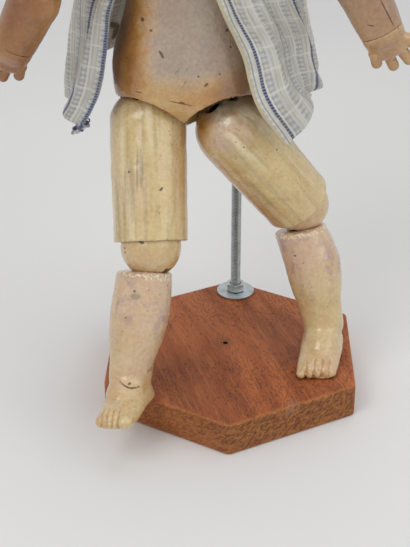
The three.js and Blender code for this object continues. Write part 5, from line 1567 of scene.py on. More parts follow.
def sheet_form(grid, kept, thick):
    """Closed sheet: the kept cells of a grid, moved out and in along the surface by half of the
    thickness, with a strip of faces along every open edge. Also returns which grid point each of
    its points came from."""
    out = unit_rows(np.cross(np.gradient(grid, axis=0), np.gradient(grid, axis=1)))
    rows, columns = grid.shape[:2]
    index = np.arange(rows * columns).reshape(rows, columns)
    used, quads = np.unique(cells_of(index)[kept], return_inverse=True)
    quads = quads.reshape(-1, 4)
    count = len(used)
    edges = np.stack([quads, np.roll(quads, -1, 1)], -1).reshape(-1, 2)
    key, reverse = edges @ (count, 1), edges @ (1, count)
    rim = edges[~np.isin(key, reverse)]
    strip = np.stack([rim[:, 1], rim[:, 0], rim[:, 0] + count, rim[:, 1] + count], -1)
    faces = np.concatenate([quads, quads[:, ::-1] + count, strip])
    middle, away = grid.reshape(-1, 3)[used], (out * thick[..., None] / 2).reshape(-1, 3)[used]
    points = np.vstack([middle + away, middle - away])
    return facing_out(points, faces, np.empty((0, 3), int)), np.concatenate([used, used])


def face_point(x, z, lift):
    """Point on the face at a place across and up, `lift` above the surface: c = x / radius is worked
    out again from the last radius, twelve times."""
    x, z = np.asarray(x, float), np.asarray(z, float)
    radius = np.full(x.shape, 40.0)
    for _ in range(12):
        c = np.clip(x / radius, -0.95, 0.95)
        s = -np.sqrt(1 - c * c)
        radius = head_radius(c, s, z, True)
    way = np.stack([c, s, 0.004 * z], -1)
    return HEAD + np.stack([radius * c, radius * s, z], -1) + lift * way


def face_paint(made):
    """Stores how blushed, red and hollow each place of the head is. The blush is bells on the cheeks
    and the chin. The lips lie between two lines, whose distance from the mouth's level is a height
    times (1 - (x / half width)^2)^0.7 above, with a dip in the middle, and ^0.6 below."""
    x, y, z = (points_of(made) - HEAD).T
    front = (y < 0) & (normals_of(made)[:, 1] < 0.2)
    cheeks = bump(np.abs(x) - 19, 9.5) * bump(z + 17, 9)
    attribute(made, "blush", np.where(front, cheeks + 0.25 * bump(z + 38, 6) * bump(x, 8), 0))
    share = np.clip(1 - (x / LIPS_HALF) ** 2, 0, 1)
    top = LIPS_LEVEL + 3.4 * share ** 0.7 * (1 - 0.22 * bump(x, 1.5))
    low = LIPS_LEVEL - 3.7 * share ** 0.6
    inside = np.minimum(top - z, z - low)
    lips = front & (np.abs(x) < LIPS_HALF)
    attribute(made, "lips", np.where(lips, smooth(-0.2, 0.5, inside), 0))
    attribute(made, "crease", smooth(0.02, 0.2, hollowness(made, 6)))


def face_strokes():
    """Brows and lashes: short brush strokes that lie on the face."""
    for sign in (1, -1):
        for share in np.linspace(0, 1, 17):
            x = sign * (7.0 + 16.5 * share + np.array([0, 1.6, 3.4]))
            z = 13.4 + 2.6 * np.sin(np.pi * share ** 0.8) - 1.2 * share + np.array([0, 0.8, 1.2])
            yield sweep(face_point(x, z, 0.02), circle(0.3 - 0.14 * share, 6))
        x0, z0 = sign * EYE_SPACING / 2, 3
        for share in np.linspace(-1, 1, 15):
            base = x0 + share * (EYE_SLOT_WIDTH / 2 + 0.2)
            lean = share * 1.5 + sign * 0.5
            z = z0 + 0.4 * sign * share + (EYE_SLOT_HEIGHT / 2 + 0.5) * (1 - share ** 2) ** 0.5
            x = base + lean * np.array([0, 0.5, 1.1])
            yield sweep(face_point(x, z + np.array([0, 1.0, 1.9]), 0.02), circle(0.16, 6))
        for share in np.linspace(-0.8, 0.8, 11):
            base = x0 + share * EYE_SLOT_WIDTH / 2
            z = z0 - 0.5 - EYE_SLOT_HEIGHT * 0.41 * (1 - share ** 2) ** 0.5
            x = base + share * np.array([0, 0.4, 0.8])
            yield sweep(face_point(x, z - np.array([0, 0.6, 1.3]), 0.02), circle(0.12, 6))


# Settings

def colour(name, value, words):
    """A colour setting, from a screen colour of 0 to 255."""
    return FloatVectorProperty(name=name, description=words, subtype="COLOR", size=4,
                               min=0, max=1, default=srgb(*value))


def length(name, default, low, high, words):
    """A length setting, in metres."""
    return FloatProperty(name=name, description=words, unit="LENGTH", default=default, min=low,
                         max=high)


def power(name, default, words):
    """A lamp's power setting, in watts."""
    return FloatProperty(name=name, description=words, unit="POWER", default=default, min=0)


class DollColours(PropertyGroup):
    """Colours of the finishes"""

    flesh_yellow: colour("Yellow beige", (210, 187, 133), "Main colour of the painted limbs")
    flesh_pink: colour("Pink beige", (208, 178, 148), "Paint where it is least yellowed")
    flesh_ochre: colour("Ochre", (198, 160, 96), "Yellowed patches of the paint")
    flesh_pale: colour("Pale band", (232, 216, 182), "Rubbed lengthwise bands of the paint")
    flesh_mauve: colour("Mauve", (176, 146, 142), "Bruised-looking patches of the paint")
    flesh_grey: colour("Grey beige", (158, 144, 131), "Dulled paint on the belly")
    streak_grey: colour("Grey streak", (150, 134, 104), "Streaks along the limbs")
    # Varnish colours, which also serve as painted shade and painted shadow where a piece's warm share
    # asks for it
    varnish_orange_and_shade: colour("Orange varnish", (188, 136, 70), "Varnish where it is thin")
    varnish_brown_and_shade: colour("Brown varnish", (128, 78, 38), "Darkened varnish")
    varnish_ochre: colour("Varnish in hollows", (182, 134, 60), "Varnish that lies in a hollow")
    chip_pale: colour("Chipped rim", (238, 226, 196), "Shiny pale chips at a worn rim")
    stain_grey: colour("Stain", (112, 100, 78), "Grey stains on the paint")
    pit_brown: colour("Pit", (84, 56, 30), "Chips and pits through the paint")
    bisque: colour("Bisque", (232, 200, 174), "Fired and tinted head")
    blush: colour("Blush", (214, 132, 112), "Cheeks")
    lips: colour("Lips", (176, 66, 60), "Painted mouth")
    iris: colour("Iris", (84, 108, 136), "Glass eyes")
    hair_dark: colour("Dark hair", (66, 42, 26), "Darkest locks of the wig")
    hair_light: colour("Light hair", (134, 92, 56), "Lightest locks of the wig")
    wood_light: colour("Wood", (186, 106, 58), "Board, lighter figure")
    wood_dark: colour("Dark wood", (148, 78, 42), "Board, darker figure")
    wood_smudge: colour("Wood smudge", (122, 74, 50), "Greyed patches of the board")
    wood_fibre: colour("Wood fibre", (206, 132, 76), "Board, pale fibres and worn edges")
    wood_end: colour("End grain", (172, 112, 58), "Board, fibres cut across")
    wood_end_dark: colour("Dark end grain", (104, 58, 28), "Board, dark specks of end grain")
    wood_pore: colour("Wood pore", (58, 30, 22), "Open pores of the board")
    zinc: colour("Zinc", (192, 200, 204), "Plated steel")
    cloth_pale: colour("Pale cloth", (224, 221, 210), "Ground of the shirt's check")
    cloth_grey: colour("Grey cloth", (200, 200, 192), "Soiled ground of the check")
    cloth_white: colour("White thread", (240, 237, 226), "Pale lines of the check")
    cloth_blue_grey: colour("Blue-grey thread", (128, 140, 162), "Fine bars of the check")
    stripe_blue: colour("Blue stripe", (56, 68, 120), "Stripe beside the front edges")
    stripe_green: colour("Green stripe", (104, 116, 108), "Thin dashed stripe")
    stripe_grey: colour("Grey stripe", (112, 120, 132), "Wider line of the check")
    selvage: colour("Selvage", (206, 192, 160), "Woven edge of the cloth")
    paper: colour("Paper", (233, 233, 232), "Floor of the studio")
    paper_low: colour("Paper shade", (228, 228, 228), "Faint patches of the floor")


class DollSizes(PropertyGroup):
    """Fine sizes that the solids in the frame don't have"""

    thread_pitch: length("Thread pitch", 0.00125, 0.0005, 0.003, "Height of one turn of the thread")
    thread_depth: length("Thread depth", 0.0007, 0, 0.0012, "Crest to root of the rod's thread")
    body_skin: length("Body skin", 0.0011, 0.0008, 0.003, "Size of the faces of the torso's skin")
    leg_skin: length("Leg skin", 0.0006, 0.0004, 0.002, "Size of the faces of a lower leg's skin")
    hand_skin: length("Hand skin", 0.00045, 0.0003, 0.002, "Size of the faces of a hand's skin")
    cloth_thick: length("Cloth", 0.0008, 0.0004, 0.0015, "Thickness of the shirt's cloth")
    hem_thick: length("Hem", 0.0013, 0.0004, 0.0016, "Thickness of the shirt's hem")
    uneven: length("Unevenness", 0.00022, 0, 0.001, "Waviness of the moulded composition")
    lock_count: IntProperty(name="Locks", default=420, min=50, max=900,
                            description="Number of locks of hair")


# The camera's frame in millimetres and its focal length as a share of that: 1304 pixels of 547
SENSOR_WIDTH, FOCAL_SHARE = 36, 1304 / 547
# Floor and lamps in metres, and how bright the sky looks where it is seen or mirrored
FLOOR_REACH, FLOOR_DROP, LAMPS_AIM, SKY_SEEN = 3, 0.0002, (-0.02, 0, 0.12), 0.72


class DollStudio(PropertyGroup):
    """Lights, floor and camera"""

    key: power("Key light", 8.2, "Large lamp at the front left")
    fill: power("Fill light", 5.3, "Large lamp at the front right")
    top: power("Top light", 6.0, "Lamp overhead")
    ambient: FloatProperty(name="Ambient", default=0.5, min=0, max=2,
                           description="Even light from all round")
    focal_length: FloatProperty(name="Focal length", default=SENSOR_WIDTH * FOCAL_SHARE, min=10,
                                description="Camera lens in millimetres on a 36 mm frame")
    camera_place: FloatVectorProperty(name="Camera", size=3, subtype="TRANSLATION", unit="LENGTH",
                                      default=(0.004725, -0.84483, 0.53886),
                                      description="Where the photograph was taken from")
    camera_way: FloatVectorProperty(name="Aim", size=3, subtype="DIRECTION",
                                    default=(-0.0251, 0.8816, -0.4713),
                                    description="Direction of view")


# Operators

class DOLL_OT_base(Operator):
    """Hexagonal board with its rod hole, the recess under it and a small blind hole"""

    bl_idname = "doll.base"
    bl_label = "Base board"

    def execute(self, context):
        made = mesh_object("base_board", [board_form()])
        rod_hole = tube((*ROD, -1), (*ROD, BASE_THICK + 1), ROD_RADIUS + FIT, 64)
        recess = tube((*ROD, -1), (*ROD, RECESS_DEPTH), RECESS_RADIUS, 120)
        blind = tube((*PLUG_HOLE, BASE_THICK - PLUG_HOLE_DEPTH), (*PLUG_HOLE, BASE_THICK + 1),
                     PLUG_HOLE_RADIUS, 40)
        combine(made, [rod_hole, recess, blind])
        points, normals = points_of(made), normals_of(made)
        grain = vec(np.cos(np.radians(GRAIN_TURN)), -np.sin(np.radians(GRAIN_TURN)), 0)
        attribute(made, "end_grain", np.abs(normals @ grain))
        angle = np.arctan2(points[:, 1], points[:, 0])
        rim = hexagon_radius(angle, BASE_APOTHEM, BASE_CORNERS)
        beyond = rim - np.hypot(points[:, 0], points[:, 1])
        flank = np.minimum(points[:, 2], BASE_THICK - points[:, 2])
        attribute(made, "edge", 1 - smooth(0.3, 3, np.hypot(beyond, np.maximum(flank, 0))))
        crisp(made, 38)
        finish(made, "stand_and_torso", ["stand_base"], "oiled_hardwood")
        return {"FINISHED"}


class DOLL_OT_rod(Operator):
    """Threaded rod with chamfered ends"""

    bl_idname = "doll.rod"
    bl_label = "Threaded rod"

    def execute(self, context):
        sizes = context.scene.doll_sizes
        low = RECESS_DEPTH - WASHER_THICK - 2 * FIT - NUT_THICK - 3
        form = threaded_form(low, CLIP_Z + ROD_ABOVE_CLIP, sizes.thread_pitch / MM,
                             sizes.thread_depth / MM)
        made = mesh_object("threaded_rod", [form])
        away = np.hypot(*(points_of(made)[:, :2] - ROD).T)
        attribute(made, "crease", 1 - smooth(ROD_RADIUS - 0.6, ROD_RADIUS - 0.1, away))
        finish(made, "stand_and_torso", ["stand_rod"], "zinc_plate")
        return {"FINISHED"}


class DOLL_OT_washers(Operator):
    """Washers on the board, under it and under the clip"""

    bl_idname = "doll.washers"
    bl_label = "Washers"

    def execute(self, context):
        rows = (
            ("board_washer", "base_washer", BASE_THICK + FIT, WASHER_RADIUS, WASHER_THICK),
            ("recess_washer", "under_washer", RECESS_DEPTH - FIT - WASHER_THICK, WASHER_RADIUS,
             WASHER_THICK),
            ("strap_washer", "clip_washer", CLIP_Z - CLIP_THICK / 2 - FIT - CLIP_WASHER_THICK,
             CLIP_WASHER_RADIUS, CLIP_WASHER_THICK),
        )
        for name, node, bottom, radius, thick in rows:
            plate(mesh_object(name, [washer_form(bottom, radius, thick)]), node, 50)
        return {"FINISHED"}


class DOLL_OT_nuts(Operator):
    """Hexagon nuts on the board, under it and on either side of the clip"""

    bl_idname = "doll.nuts"
    bl_label = "Nuts"

    def execute(self, context):
        on_board = BASE_THICK + WASHER_THICK + 2 * FIT
        under = RECESS_DEPTH - WASHER_THICK - 2 * FIT - NUT_THICK
        below = CLIP_Z - CLIP_THICK / 2 - 2 * FIT - CLIP_WASHER_THICK - NUT_THICK
        rows = (("board_nut", "base_nut", on_board), ("recess_nut", "under_nut", under),
                ("strap_nut_below", "clip_lower_nut", below),
                ("strap_nut_above", "clip_upper_nut", CLIP_Z + CLIP_THICK / 2 + FIT))
        for name, node, bottom in rows:
            plate(mesh_object(name, [nut_form(bottom)]), node, 25)
        return {"FINISHED"}


class DOLL_OT_clip(Operator):
    """Spring strap round the back of the waist, with an arm and an eye on the rod"""

    bl_idname = "doll.clip"
    bl_label = "Waist clip"

    def execute(self, context):
        half, front, back = torso_at(CLIP_ABOVE_HIPS)
        gap = CLIP_GAP + CLIP_THICK / 2
        t = np.radians(np.linspace(CLIP_OPEN / 2, 360 - CLIP_OPEN / 2, 160) - 90)
        radius = section_radius(np.cos(t), np.sin(t), half, front, back, TORSO_SQUARENESS) + gap
        path = np.stack([DOLL_X + radius * np.cos(t), TORSO_BACK + radius * np.sin(t),
                         np.full(len(t), CLIP_Z)], -1)
        strap = sweep(path, strip_section(CLIP_THICK, CLIP_WIDTH, 0.6))
        start = vec(DOLL_X + 3, TORSO_BACK + back + CLIP_GAP + CLIP_THICK / 2, CLIP_Z)
        end = vec(*ROD, CLIP_Z)
        arm = sweep(np.linspace(start, end, 12), strip_section(CLIP_WIDTH, CLIP_THICK, 0.6))
        eye = moved(lathe(eased([(0, -CLIP_THICK / 2), (CLIP_WASHER_RADIUS, -CLIP_THICK / 2),
                                 (CLIP_WASHER_RADIUS, CLIP_THICK / 2), (0, CLIP_THICK / 2)],
                                ease=0.4, ring=False), 96), end)
        made = mesh_object("clip_strap", [strap])
        combine(made, [arm, eye], "UNION")
        combine(made, [tube(end - vec(0, 0, 5), end + vec(0, 0, 5), ROD_RADIUS + FIT, 64)])
        plate(made, "waist_clip", 38)
        return {"FINISHED"}


class DOLL_OT_torso(Operator):
    """Hollow torso with sockets for the hips, the shoulders and the neck"""

    bl_idname = "doll.torso"
    bl_label = "Torso"

    def execute(self, context):
        sizes = context.scene.doll_sizes
        cut, kept = [], []
        for name in SIDES:
            joint = JOINT[name]
            cut += thigh_room(name, 0) + [ball(SHOULDER_RADIUS + RUN, joint["shoulder"], 72)]
            kept += thigh_room(name, WALL, 3)
            kept.append(ball(SHOULDER_RADIUS + RUN + WALL, joint["shoulder"], 64))
            level = vec(DOLL_X, joint["shoulder"][1], joint["shoulder"][2])
            cut += [tube(level, joint["shoulder"], LIMB_BORE), tube(HOOK, joint["hip"], LIMB_BORE)]
        neck_rim = HIP_HEIGHT + NECK_HEIGHT
        cut += [ball(NECK_RADIUS + RUN, NECK, 96),
                tube((DOLL_X, TORSO_BACK, neck_rim - 30), (DOLL_X, TORSO_BACK, neck_rim + 5),
                     NECK_HOLE, 64)]
        mouths = [JOINT[name]["hip"] + MOUTH[name] + MOUTH_EDGE[name] for name in ("right", "left")]
        kept.append(ball(MOUTH_RADIUS + WALL, mouths[0], 64))
        cut += [ball(MOUTH_RADIUS, mouth, 96) for mouth in mouths]
        hollow = mesh_object("hollow", [torso_form(WALL, WALL, WALL, 150, 120)])
        combine(hollow, kept)
        made = mesh_object("body_shell", [torso_form()])
        combine(made, [hollow])
        combine(made, cut)
        fuse(made, sizes.body_skin / MM)
        relax(made, 5)
        worn_skin(made, 11, TORSO_PITS, sizes.uneven / MM)
        limb_paint(made, TORSO_AT, np.eye(3), streak=0.25, **torso_paint(points_of(made)))
        finish(made, "stand_and_torso", ["torso"], "painted_composition")
        return {"FINISHED"}


class DOLL_OT_thighs(Operator):
    """Both thighs, turned shells with a slot for the elastic in their ball ends"""

    bl_idname = "doll.thighs"
    bl_label = "Thighs"

    def execute(self, context):
        for name in SIDES:
            turn = limb_turn(THIGH_WAY[name], FORWARD)
            hip = JOINT[name]["hip"]
            made = mesh_object(f"thigh_shell_{name}", [placed(thigh_form(), hip, turn)])
            worn_skin(made, 21 if name == "left" else 22, THIGH_PITS[name],
                      context.scene.doll_sizes.uneven / MM)
            combine(made, list(slot_tubes(name)))
            crisp(made, 60)
            x, _, z = ((points_of(made) - hip) @ turn).T
            # Brown on the top of the dome: partly darkened paint, partly painted shade under the
            # torso's rim
            top = 0.55 * smooth(12, 24, z) * smooth(8, -14, x)
            flank = 0.3 * smooth(12, 24, -SIGN[name] * x) * (z < 0)
            rim = KNEE_OUT - THIGH_LENGTH
            limb_paint(made, hip, turn, tone=0.1 + 0.5 * smooth(-6, 14, z), warm=top + flank,
                       rim=0.5 * smooth(rim + 1.4, rim + 0.6, z))
            painted_limb(made, f"thigh_{name}")
        return {"FINISHED"}


class DOLL_OT_joint_balls(Operator):
    """Loose balls of the knees, elbows and shoulders, each with a bore and a slot"""

    bl_idname = "doll.joint_balls"
    bl_label = "Joint balls"

    def execute(self, context):
        for name in SIDES:
            joint = JOINT[name]
            outward = vec(SIGN[name], 0, 0)
            arm_turn = limb_turn(UPPER_ARM_WAY[name], outward)
            rows = [("shoulder", SHOULDER_RADIUS, arm_turn, arm_turn.T @ -outward, -25, 40)]
            for key, radius, way, after in (
                    ("knee", KNEE_RADIUS, THIGH_WAY[name], SHIN_WAY[name]),
                    ("elbow", ELBOW_RADIUS, UPPER_ARM_WAY[name], FOREARM_WAY[name])):
                bend = np.degrees(np.arccos(way @ after))
                start, end = ((min(-12, bend - 45), bend + 32) if key == "knee"
                              else (0, bend + 6))
                turn = limb_turn(way, after - way * (after @ way))
                rows.append((key, radius, turn, vec(0, 0, 1), start, end))
            for key, radius, turn, pull, start, end in rows:
                made = drilled_ball(f"{key}_joint_{name}", radius, joint[key], turn, pull,
                                    start, end)
                pits = KNEE_PITS if (key, name) == ("knee", "right") else ()
                worn_skin(made, 31 + len(key), pits, 0.08)
                crisp(made, 60)
                limb_paint(made, joint[key], turn, tone=0.35, warm=0.1, streak=0.15)
                painted_limb(made, f"{key}_ball_{name}")
        return {"FINISHED"}


class DOLL_OT_lower_legs(Operator):
    """Both lower legs, each in one piece with its foot and toes"""

    bl_idname = "doll.lower_legs"
    bl_label = "Lower legs"

    def execute(self, context):
        sizes = context.scene.doll_sizes
        for name in SIDES:
            sign, knee = SIGN[name], JOINT[name]["knee"]
            turn = limb_turn(SHIN_WAY[name], FOOT_WAY[name])
            ankle, foot = vec(0, 0, -SHIN_LENGTH), foot_turn(name)
            forms = [shin_form(name)]
            forms += [placed(form, ankle, foot) for form in (foot_form(sign), *toe_forms(sign))]
            made = mesh_object(f"shin_and_foot_{name}", [placed(f, knee, turn) for f in forms])
            fuse(made, sizes.leg_skin / MM)
            relax(made, 5)
            above_ankle = ((points_of(made) - knee) @ turn)[:, 2] + SHIN_LENGTH - 3
            soften(made, 0.9 * bump(above_ankle, 9), 90)
            points, normals = points_of(made), normals_of(made)
            sole = ((points - knee) @ turn - ankle) @ foot
            set_points(made, points - normals * toe_grooves(sole, sign)[:, None])
            worn_skin(made, 41 if sign > 0 else 42, ANKLE_SCRATCHES[name], sizes.uneven / MM)
            bore = tube((0, 0, 0), (0, 0, -SHIN_LENGTH * 0.74), LIMB_BORE + 1, 48)
            combine(made, [ball(KNEE_RADIUS + RUN, knee, 96), placed(bore, knee, turn)])
            crisp(made, 70)
            z = ((points_of(made) - knee) @ turn)[:, 2]
            limb_paint(made, knee, turn, streak=0.15, tone=0.35 + 0.55 * smooth(-78, -40, z),
                       warm=0.16 * smooth(-84, -104, z),
                       rim=smooth(-SHIN_RIM_DROP - 4.2, -SHIN_RIM_DROP - 2.4, z))
            painted_limb(made, f"lower_leg_{name}")
        return {"FINISHED"}


class DOLL_OT_arms(Operator):
    """Both upper arms and both forearms"""

    bl_idname = "doll.arms"
    bl_label = "Arms"

    def execute(self, context):
        for name in SIDES:
            rows = (("upper_arm", "shoulder", UPPER_ARM_WAY[name], upper_arm_form(), 51),
                    ("forearm", "elbow", FOREARM_WAY[name], forearm_form(), 52))
            for key, start, way, form, seed in rows:
                at, turn = JOINT[name][start], limb_turn(way, FORWARD)
                made = mesh_object(f"{key}_shell_{name}", [placed(form, at, turn)])
                cracks = FOREARM_CRACKS if (key, name) == ("forearm", "left") else ()
                worn_skin(made, seed + SIGN[name], cracks, context.scene.doll_sizes.uneven / MM)
                crisp(made, 60)
                limb_paint(made, at, turn, tone=0.0, warm=ARM_WARM[name], streak=0.4,
                           grey=ARM_GREY[name])
                painted_limb(made, f"{key}_{name}")
        return {"FINISHED"}


class DOLL_OT_hands(Operator):
    """Both hands, each in one piece with its wrist ball"""

    bl_idname = "doll.hands"
    bl_label = "Hands"

    def execute(self, context):
        sizes = context.scene.doll_sizes
        for name in SIDES:
            at, turn = JOINT[name]["wrist"], limb_turn(FOREARM_WAY[name], FORWARD)
            made = mesh_object(f"hand_and_fingers_{name}",
                               [placed(form, at, turn) for form in hand_forms(SIGN[name])])
            fuse(made, sizes.hand_skin / MM)
            relax(made, 4)
            worn_skin(made, 61 + SIGN[name], (), 0.1)
            inner = WRIST_RADIUS + 0.2
            above = eased([(inner, 3.8), (24, 3.8), (24, 12), (inner, 12)], ease=0.05)
            bore = tube((0, 0, -WRIST_SHANK - FIT), (0, 0, WRIST_RADIUS + 2), 0.8 + FIT, 24)
            combine(made, [placed(form, at, turn) for form in (lathe(above, 96), bore)])
            limb_paint(made, at, turn, tone=0.1, warm=HAND_WARM[name], streak=0.1,
                       grey=HAND_GREY[name])
            painted_limb(made, f"hand_{name}")
        return {"FINISHED"}


class DOLL_OT_head(Operator):
    """Bisque head: hollow shell with an open crown, eye openings, a ball-ended neck, and a calm
    painted face"""

    bl_idname = "doll.head"
    bl_label = "Head"

    def execute(self, context):
        made = mesh_object("bisque_head", [head_form(0, True, 270, 220)])
        combine(made, [neck_form()], "UNION")
        cut = [crown_block(), head_form(-HEAD_WALL, False, 90, 70),
               tube(NECK + vec(0, 0, -4), NECK + vec(0, 0, 40), LIMB_BORE + 6, 48),
               tube(NECK + vec(0, 0, -30), NECK + vec(0, 0, 5), LIMB_BORE - 3, 32)]
        for sign in (1, -1):
            cut += [ball(EYE_RADIUS + RUN, eye_centre(sign), 72), eye_opening(sign)]
        combine(made, cut)
        crisp(made, 50)
        face_paint(made)
        finish(made, "head", ["head"], "tinted_bisque")
        strokes = mesh_object("painted_brows_and_lashes", list(face_strokes()))
        finish(strokes, "head", [], "painted_hair_line")
        return {"FINISHED"}


class DOLL_OT_eyes(Operator):
    """Glass sleep eyes with a slight bulge over the iris"""

    bl_idname = "doll.eyes"
    bl_label = "Eyes"

    def execute(self, context):
        for name in SIDES:
            points, quads, fans = turned(ball(1, around=96), axis_turn((1, 0, 0), 90))
            away = np.degrees(np.arccos(np.clip(-points[:, 1], -1, 1)))
            points = points * (EYE_RADIUS + 0.28 * bump(away, 26))[:, None]
            centre = eye_centre(SIGN[name])
            made = mesh_object(f"glass_eye_{name}", [(points + centre, quads, fans)])
            finish(made, "eyes", [f"eye_{name}"], "eye_glass")
        return {"FINISHED"}


class DOLL_OT_wig(Operator):
    """Short bob: a layer over the scalp, and locks laid over it"""

    bl_idname = "doll.wig"
    bl_label = "Wig"

    def execute(self, context):
        made = mesh_object("wig_layer", [head_form(WIG_INSIDE + WIG_LAYER, False, 160, 110)])
        nape = moved(block(HEAD_WIDTH * 3, HEAD_DEPTH * 3, HEAD_HEIGHT),
                     HEAD + vec(0, 0, NAPE - HEAD_HEIGHT / 2))
        face = moved(scaled(ball(1, around=96), HEAD_WIDTH * 0.39, HEAD_DEPTH * 0.67,
                            HEAD_HEIGHT * 0.4),
                     HEAD - vec(0, HEAD_DEPTH * 0.645, HEAD_HEIGHT * 0.115))
        jaw = moved(block(HEAD_WIDTH * 2.5, HEAD_DEPTH * 1.1, HEAD_HEIGHT * 0.77),
                    HEAD - vec(0, HEAD_DEPTH * 0.69, HEAD_HEIGHT / 2))
        combine(made, [head_form(WIG_INSIDE, False, 120, 90), nape, face, jaw])
        attribute(made, "limb", points_of(made) - HEAD)
        attribute(made, "shade", 0.12)
        finish(made, "head", ["wig"], "mohair")
        rng = np.random.default_rng(7)
        locks = list(lock_forms(rng, context.scene.doll_sizes.lock_count))
        hair = mesh_object("wig_locks", locks)
        shade = np.concatenate([np.full(len(form[0]), rng.uniform(0.15, 0.95)) for form in locks])
        attribute(hair, "shade", shade)
        attribute(hair, "limb", points_of(hair) - HEAD)
        finish(hair, "head", [], "mohair")
        return {"FINISHED"}


class DOLL_OT_shirt(Operator):
    """Open checked shirt with armholes, a thicker hem and a knot of loose thread at its right"""

    bl_idname = "doll.shirt"
    bl_label = "Shirt"

    def execute(self, context):
        sizes = context.scene.doll_sizes
        across, down = np.meshgrid(*(np.linspace(0, 1, count) for count in SHIRT_GRID))
        grid, kept = with_armholes(shirt_surface(across, down))
        from_edge, depth = cloth_measures(grid)
        hem = np.maximum(smooth(depth[-1, 0] - 7, depth[-1, 0] - 6, depth),
                         1 - smooth(5.5, 6.5, from_edge))
        thick = (sizes.cloth_thick + (sizes.hem_thick - sizes.cloth_thick) * hem) / MM
        form, origin = sheet_form(grid, kept, thick)
        made = mesh_object("open_shirt", [form])
        right = across < 0.5
        offset = np.where(right, 7.6 * smooth(0.15, 0.3, down), 0)
        attribute(made, "front_edge", (from_edge + offset).ravel()[origin])
        line = np.where(right, 21 + 3 * np.sin(down * 12), 57)
        attribute(made, "second_stripe", (from_edge - line).ravel()[origin])
        _, stain = wear(points_of(made), STAIN_LINES)
        attribute(made, "stain", smooth(0.3, 0.7, stain))
        corner = read(made.data.loops, "vertex_index", 1, np.int32)[:, 0]
        cut = np.stack([from_edge.ravel(), depth.ravel()], -1)[origin][corner] * MM
        made.data.uv_layers.new(name="cut").data.foreach_set("uv", cut.astype(np.float32).ravel())
        crisp(made, 70)
        knot = mesh_object("shirt_knot", list(knot_forms()))
        finish(knot, "stand_and_torso", [], "stitching_thread")
        finish(made, "stand_and_torso", ["shirt"], "checked_cotton")
        return {"FINISHED"}


class DOLL_OT_inner_works(Operator):
    """Finishes of the hooks, elastics, rings, button, pate and eye weight inside the doll"""

    bl_idname = "doll.inner_works"
    bl_label = "Inner works"

    def execute(self, context):
        finishes = {
            "neck_hook": "steel_wire", "eye_wire": "steel_wire", "wrist_hook": "steel_wire",
            "leg_anchor": "steel_wire", "elastic": "elastic_cord", "neck_button": "turned_beech",
            "pate": "grey_card", "eye_weight": "dull_lead",
        }
        for made in bpy.data.objects:
            for part, finish_name in finishes.items():
                if made.type == "MESH" and part in made.name:
                    coat(made, finish_name)
        return {"FINISHED"}


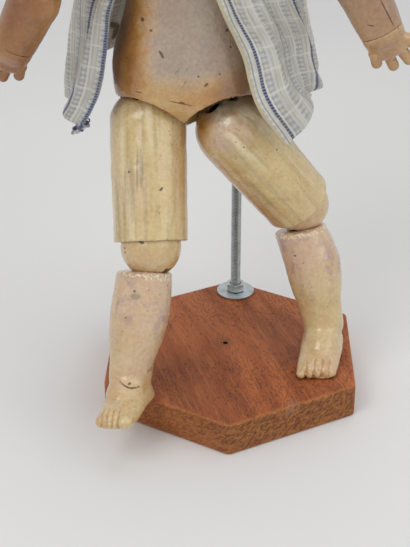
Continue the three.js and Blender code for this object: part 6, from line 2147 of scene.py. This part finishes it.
class DOLL_OT_stage(Operator):
    """Paper floor, soft lamps, sky and camera"""

    bl_idname = "doll.stage"
    bl_label = "Stage"

    def execute(self, context):
        scene, studio = context.scene, context.scene.doll_studio
        side = np.linspace(-FLOOR_REACH, FLOOR_REACH, 25)
        x, y = np.meshgrid(side, side)
        index = np.arange(x.size).reshape(x.shape)
        points = np.stack([x, y, 0 * x - FLOOR_DROP], -1)
        mesh = bpy.data.meshes.new("floor")
        mesh.from_pydata(points.reshape(-1, 3).tolist(), [], cells_of(index).reshape(-1, 4).tolist())
        mesh.materials.append(material("studio_paper"))
        put("floor", mesh)
        lamps = (("key_light", studio.key, 0.9, (-0.75, -0.95, 1.35)),
                 ("fill_light", studio.fill, 1.2, (1.1, -0.7, 1.0)),
                 ("top_light", studio.top, 1.4, (0.1, 0.35, 1.7)))
        for name, watts, size, place in lamps:
            light = bpy.data.lights.new(name, "AREA")
            light.energy, light.size = watts, size
            lamp = put(name, light)
            lamp.location = place
            way = Vector(LAMPS_AIM) - lamp.location
            lamp.rotation_euler = way.to_track_quat("-Z", "Y").to_euler()
        world = bpy.data.worlds.new("studio_sky")
        world.use_nodes = True
        nodes, links = world.node_tree.nodes, world.node_tree.links
        nodes.clear()
        path = nodes.new("ShaderNodeLightPath")
        seen = nodes.new("ShaderNodeMath")
        seen.operation = "MAXIMUM"
        links.new(path.outputs["Is Camera Ray"], seen.inputs[0])
        links.new(path.outputs["Is Glossy Ray"], seen.inputs[1])
        pair = nodes.new("ShaderNodeMixShader")
        links.new(seen.outputs[0], pair.inputs[0])
        for slot, strength in ((1, studio.ambient), (2, SKY_SEEN)):
            sky = nodes.new("ShaderNodeBackground")
            sky.inputs["Color"].default_value = (1, 1, 1, 1)
            sky.inputs["Strength"].default_value = strength
            links.new(sky.outputs[0], pair.inputs[slot])
        output = nodes.new("ShaderNodeOutputWorld")
        links.new(pair.outputs[0], output.inputs["Surface"])
        scene.world = world
        scene.view_settings.view_transform = "Standard"
        camera = put("camera", bpy.data.cameras.new("camera"))
        camera.data.lens = studio.focal_length
        camera.data.sensor_width = SENSOR_WIDTH
        camera.location = studio.camera_place
        aim = Vector(studio.camera_way).to_track_quat("-Z", "Y")
        camera.rotation_euler = aim.to_euler()
        scene.camera = camera
        return {"FINISHED"}


BUILDERS = (
    DOLL_OT_base, DOLL_OT_rod, DOLL_OT_washers, DOLL_OT_nuts, DOLL_OT_clip, DOLL_OT_torso,
    DOLL_OT_thighs, DOLL_OT_joint_balls, DOLL_OT_lower_legs, DOLL_OT_arms, DOLL_OT_hands,
    DOLL_OT_head, DOLL_OT_eyes, DOLL_OT_wig, DOLL_OT_shirt, DOLL_OT_inner_works, DOLL_OT_stage,
)


class DOLL_PT_panel(Panel):
    """Settings of the doll, and a button for each of its pieces"""

    bl_idname = "DOLL_PT_panel"
    bl_label = "Doll on a stand"
    bl_space_type = "VIEW_3D"
    bl_region_type = "UI"
    bl_category = "Doll"

    def draw(self, context):
        for title, group in (("Sizes", context.scene.doll_sizes),
                             ("Studio", context.scene.doll_studio),
                             ("Colours", context.scene.doll_colours)):
            box = self.layout.box()
            box.label(text=title)
            for name in group.__annotations__:
                box.prop(group, name)
        for builder in BUILDERS:
            self.layout.operator(builder.bl_idname)


CLASSES = (DollColours, DollSizes, DollStudio, *BUILDERS, DOLL_PT_panel)


def register():
    for cls in CLASSES:
        bpy.utils.register_class(cls)
    bpy.types.Scene.doll_colours = PointerProperty(type=DollColours)
    bpy.types.Scene.doll_sizes = PointerProperty(type=DollSizes)
    bpy.types.Scene.doll_studio = PointerProperty(type=DollStudio)


def unregister():
    del bpy.types.Scene.doll_colours, bpy.types.Scene.doll_sizes, bpy.types.Scene.doll_studio
    for cls in reversed(CLASSES):
        bpy.utils.unregister_class(cls)


def main():
    """Builds every piece in turn."""
    register()
    for builder in BUILDERS:
        group, name = builder.bl_idname.split(".")
        getattr(getattr(bpy.ops, group), name)()
    bpy.context.view_layer.update()


if __name__ == "__main__":
    main()
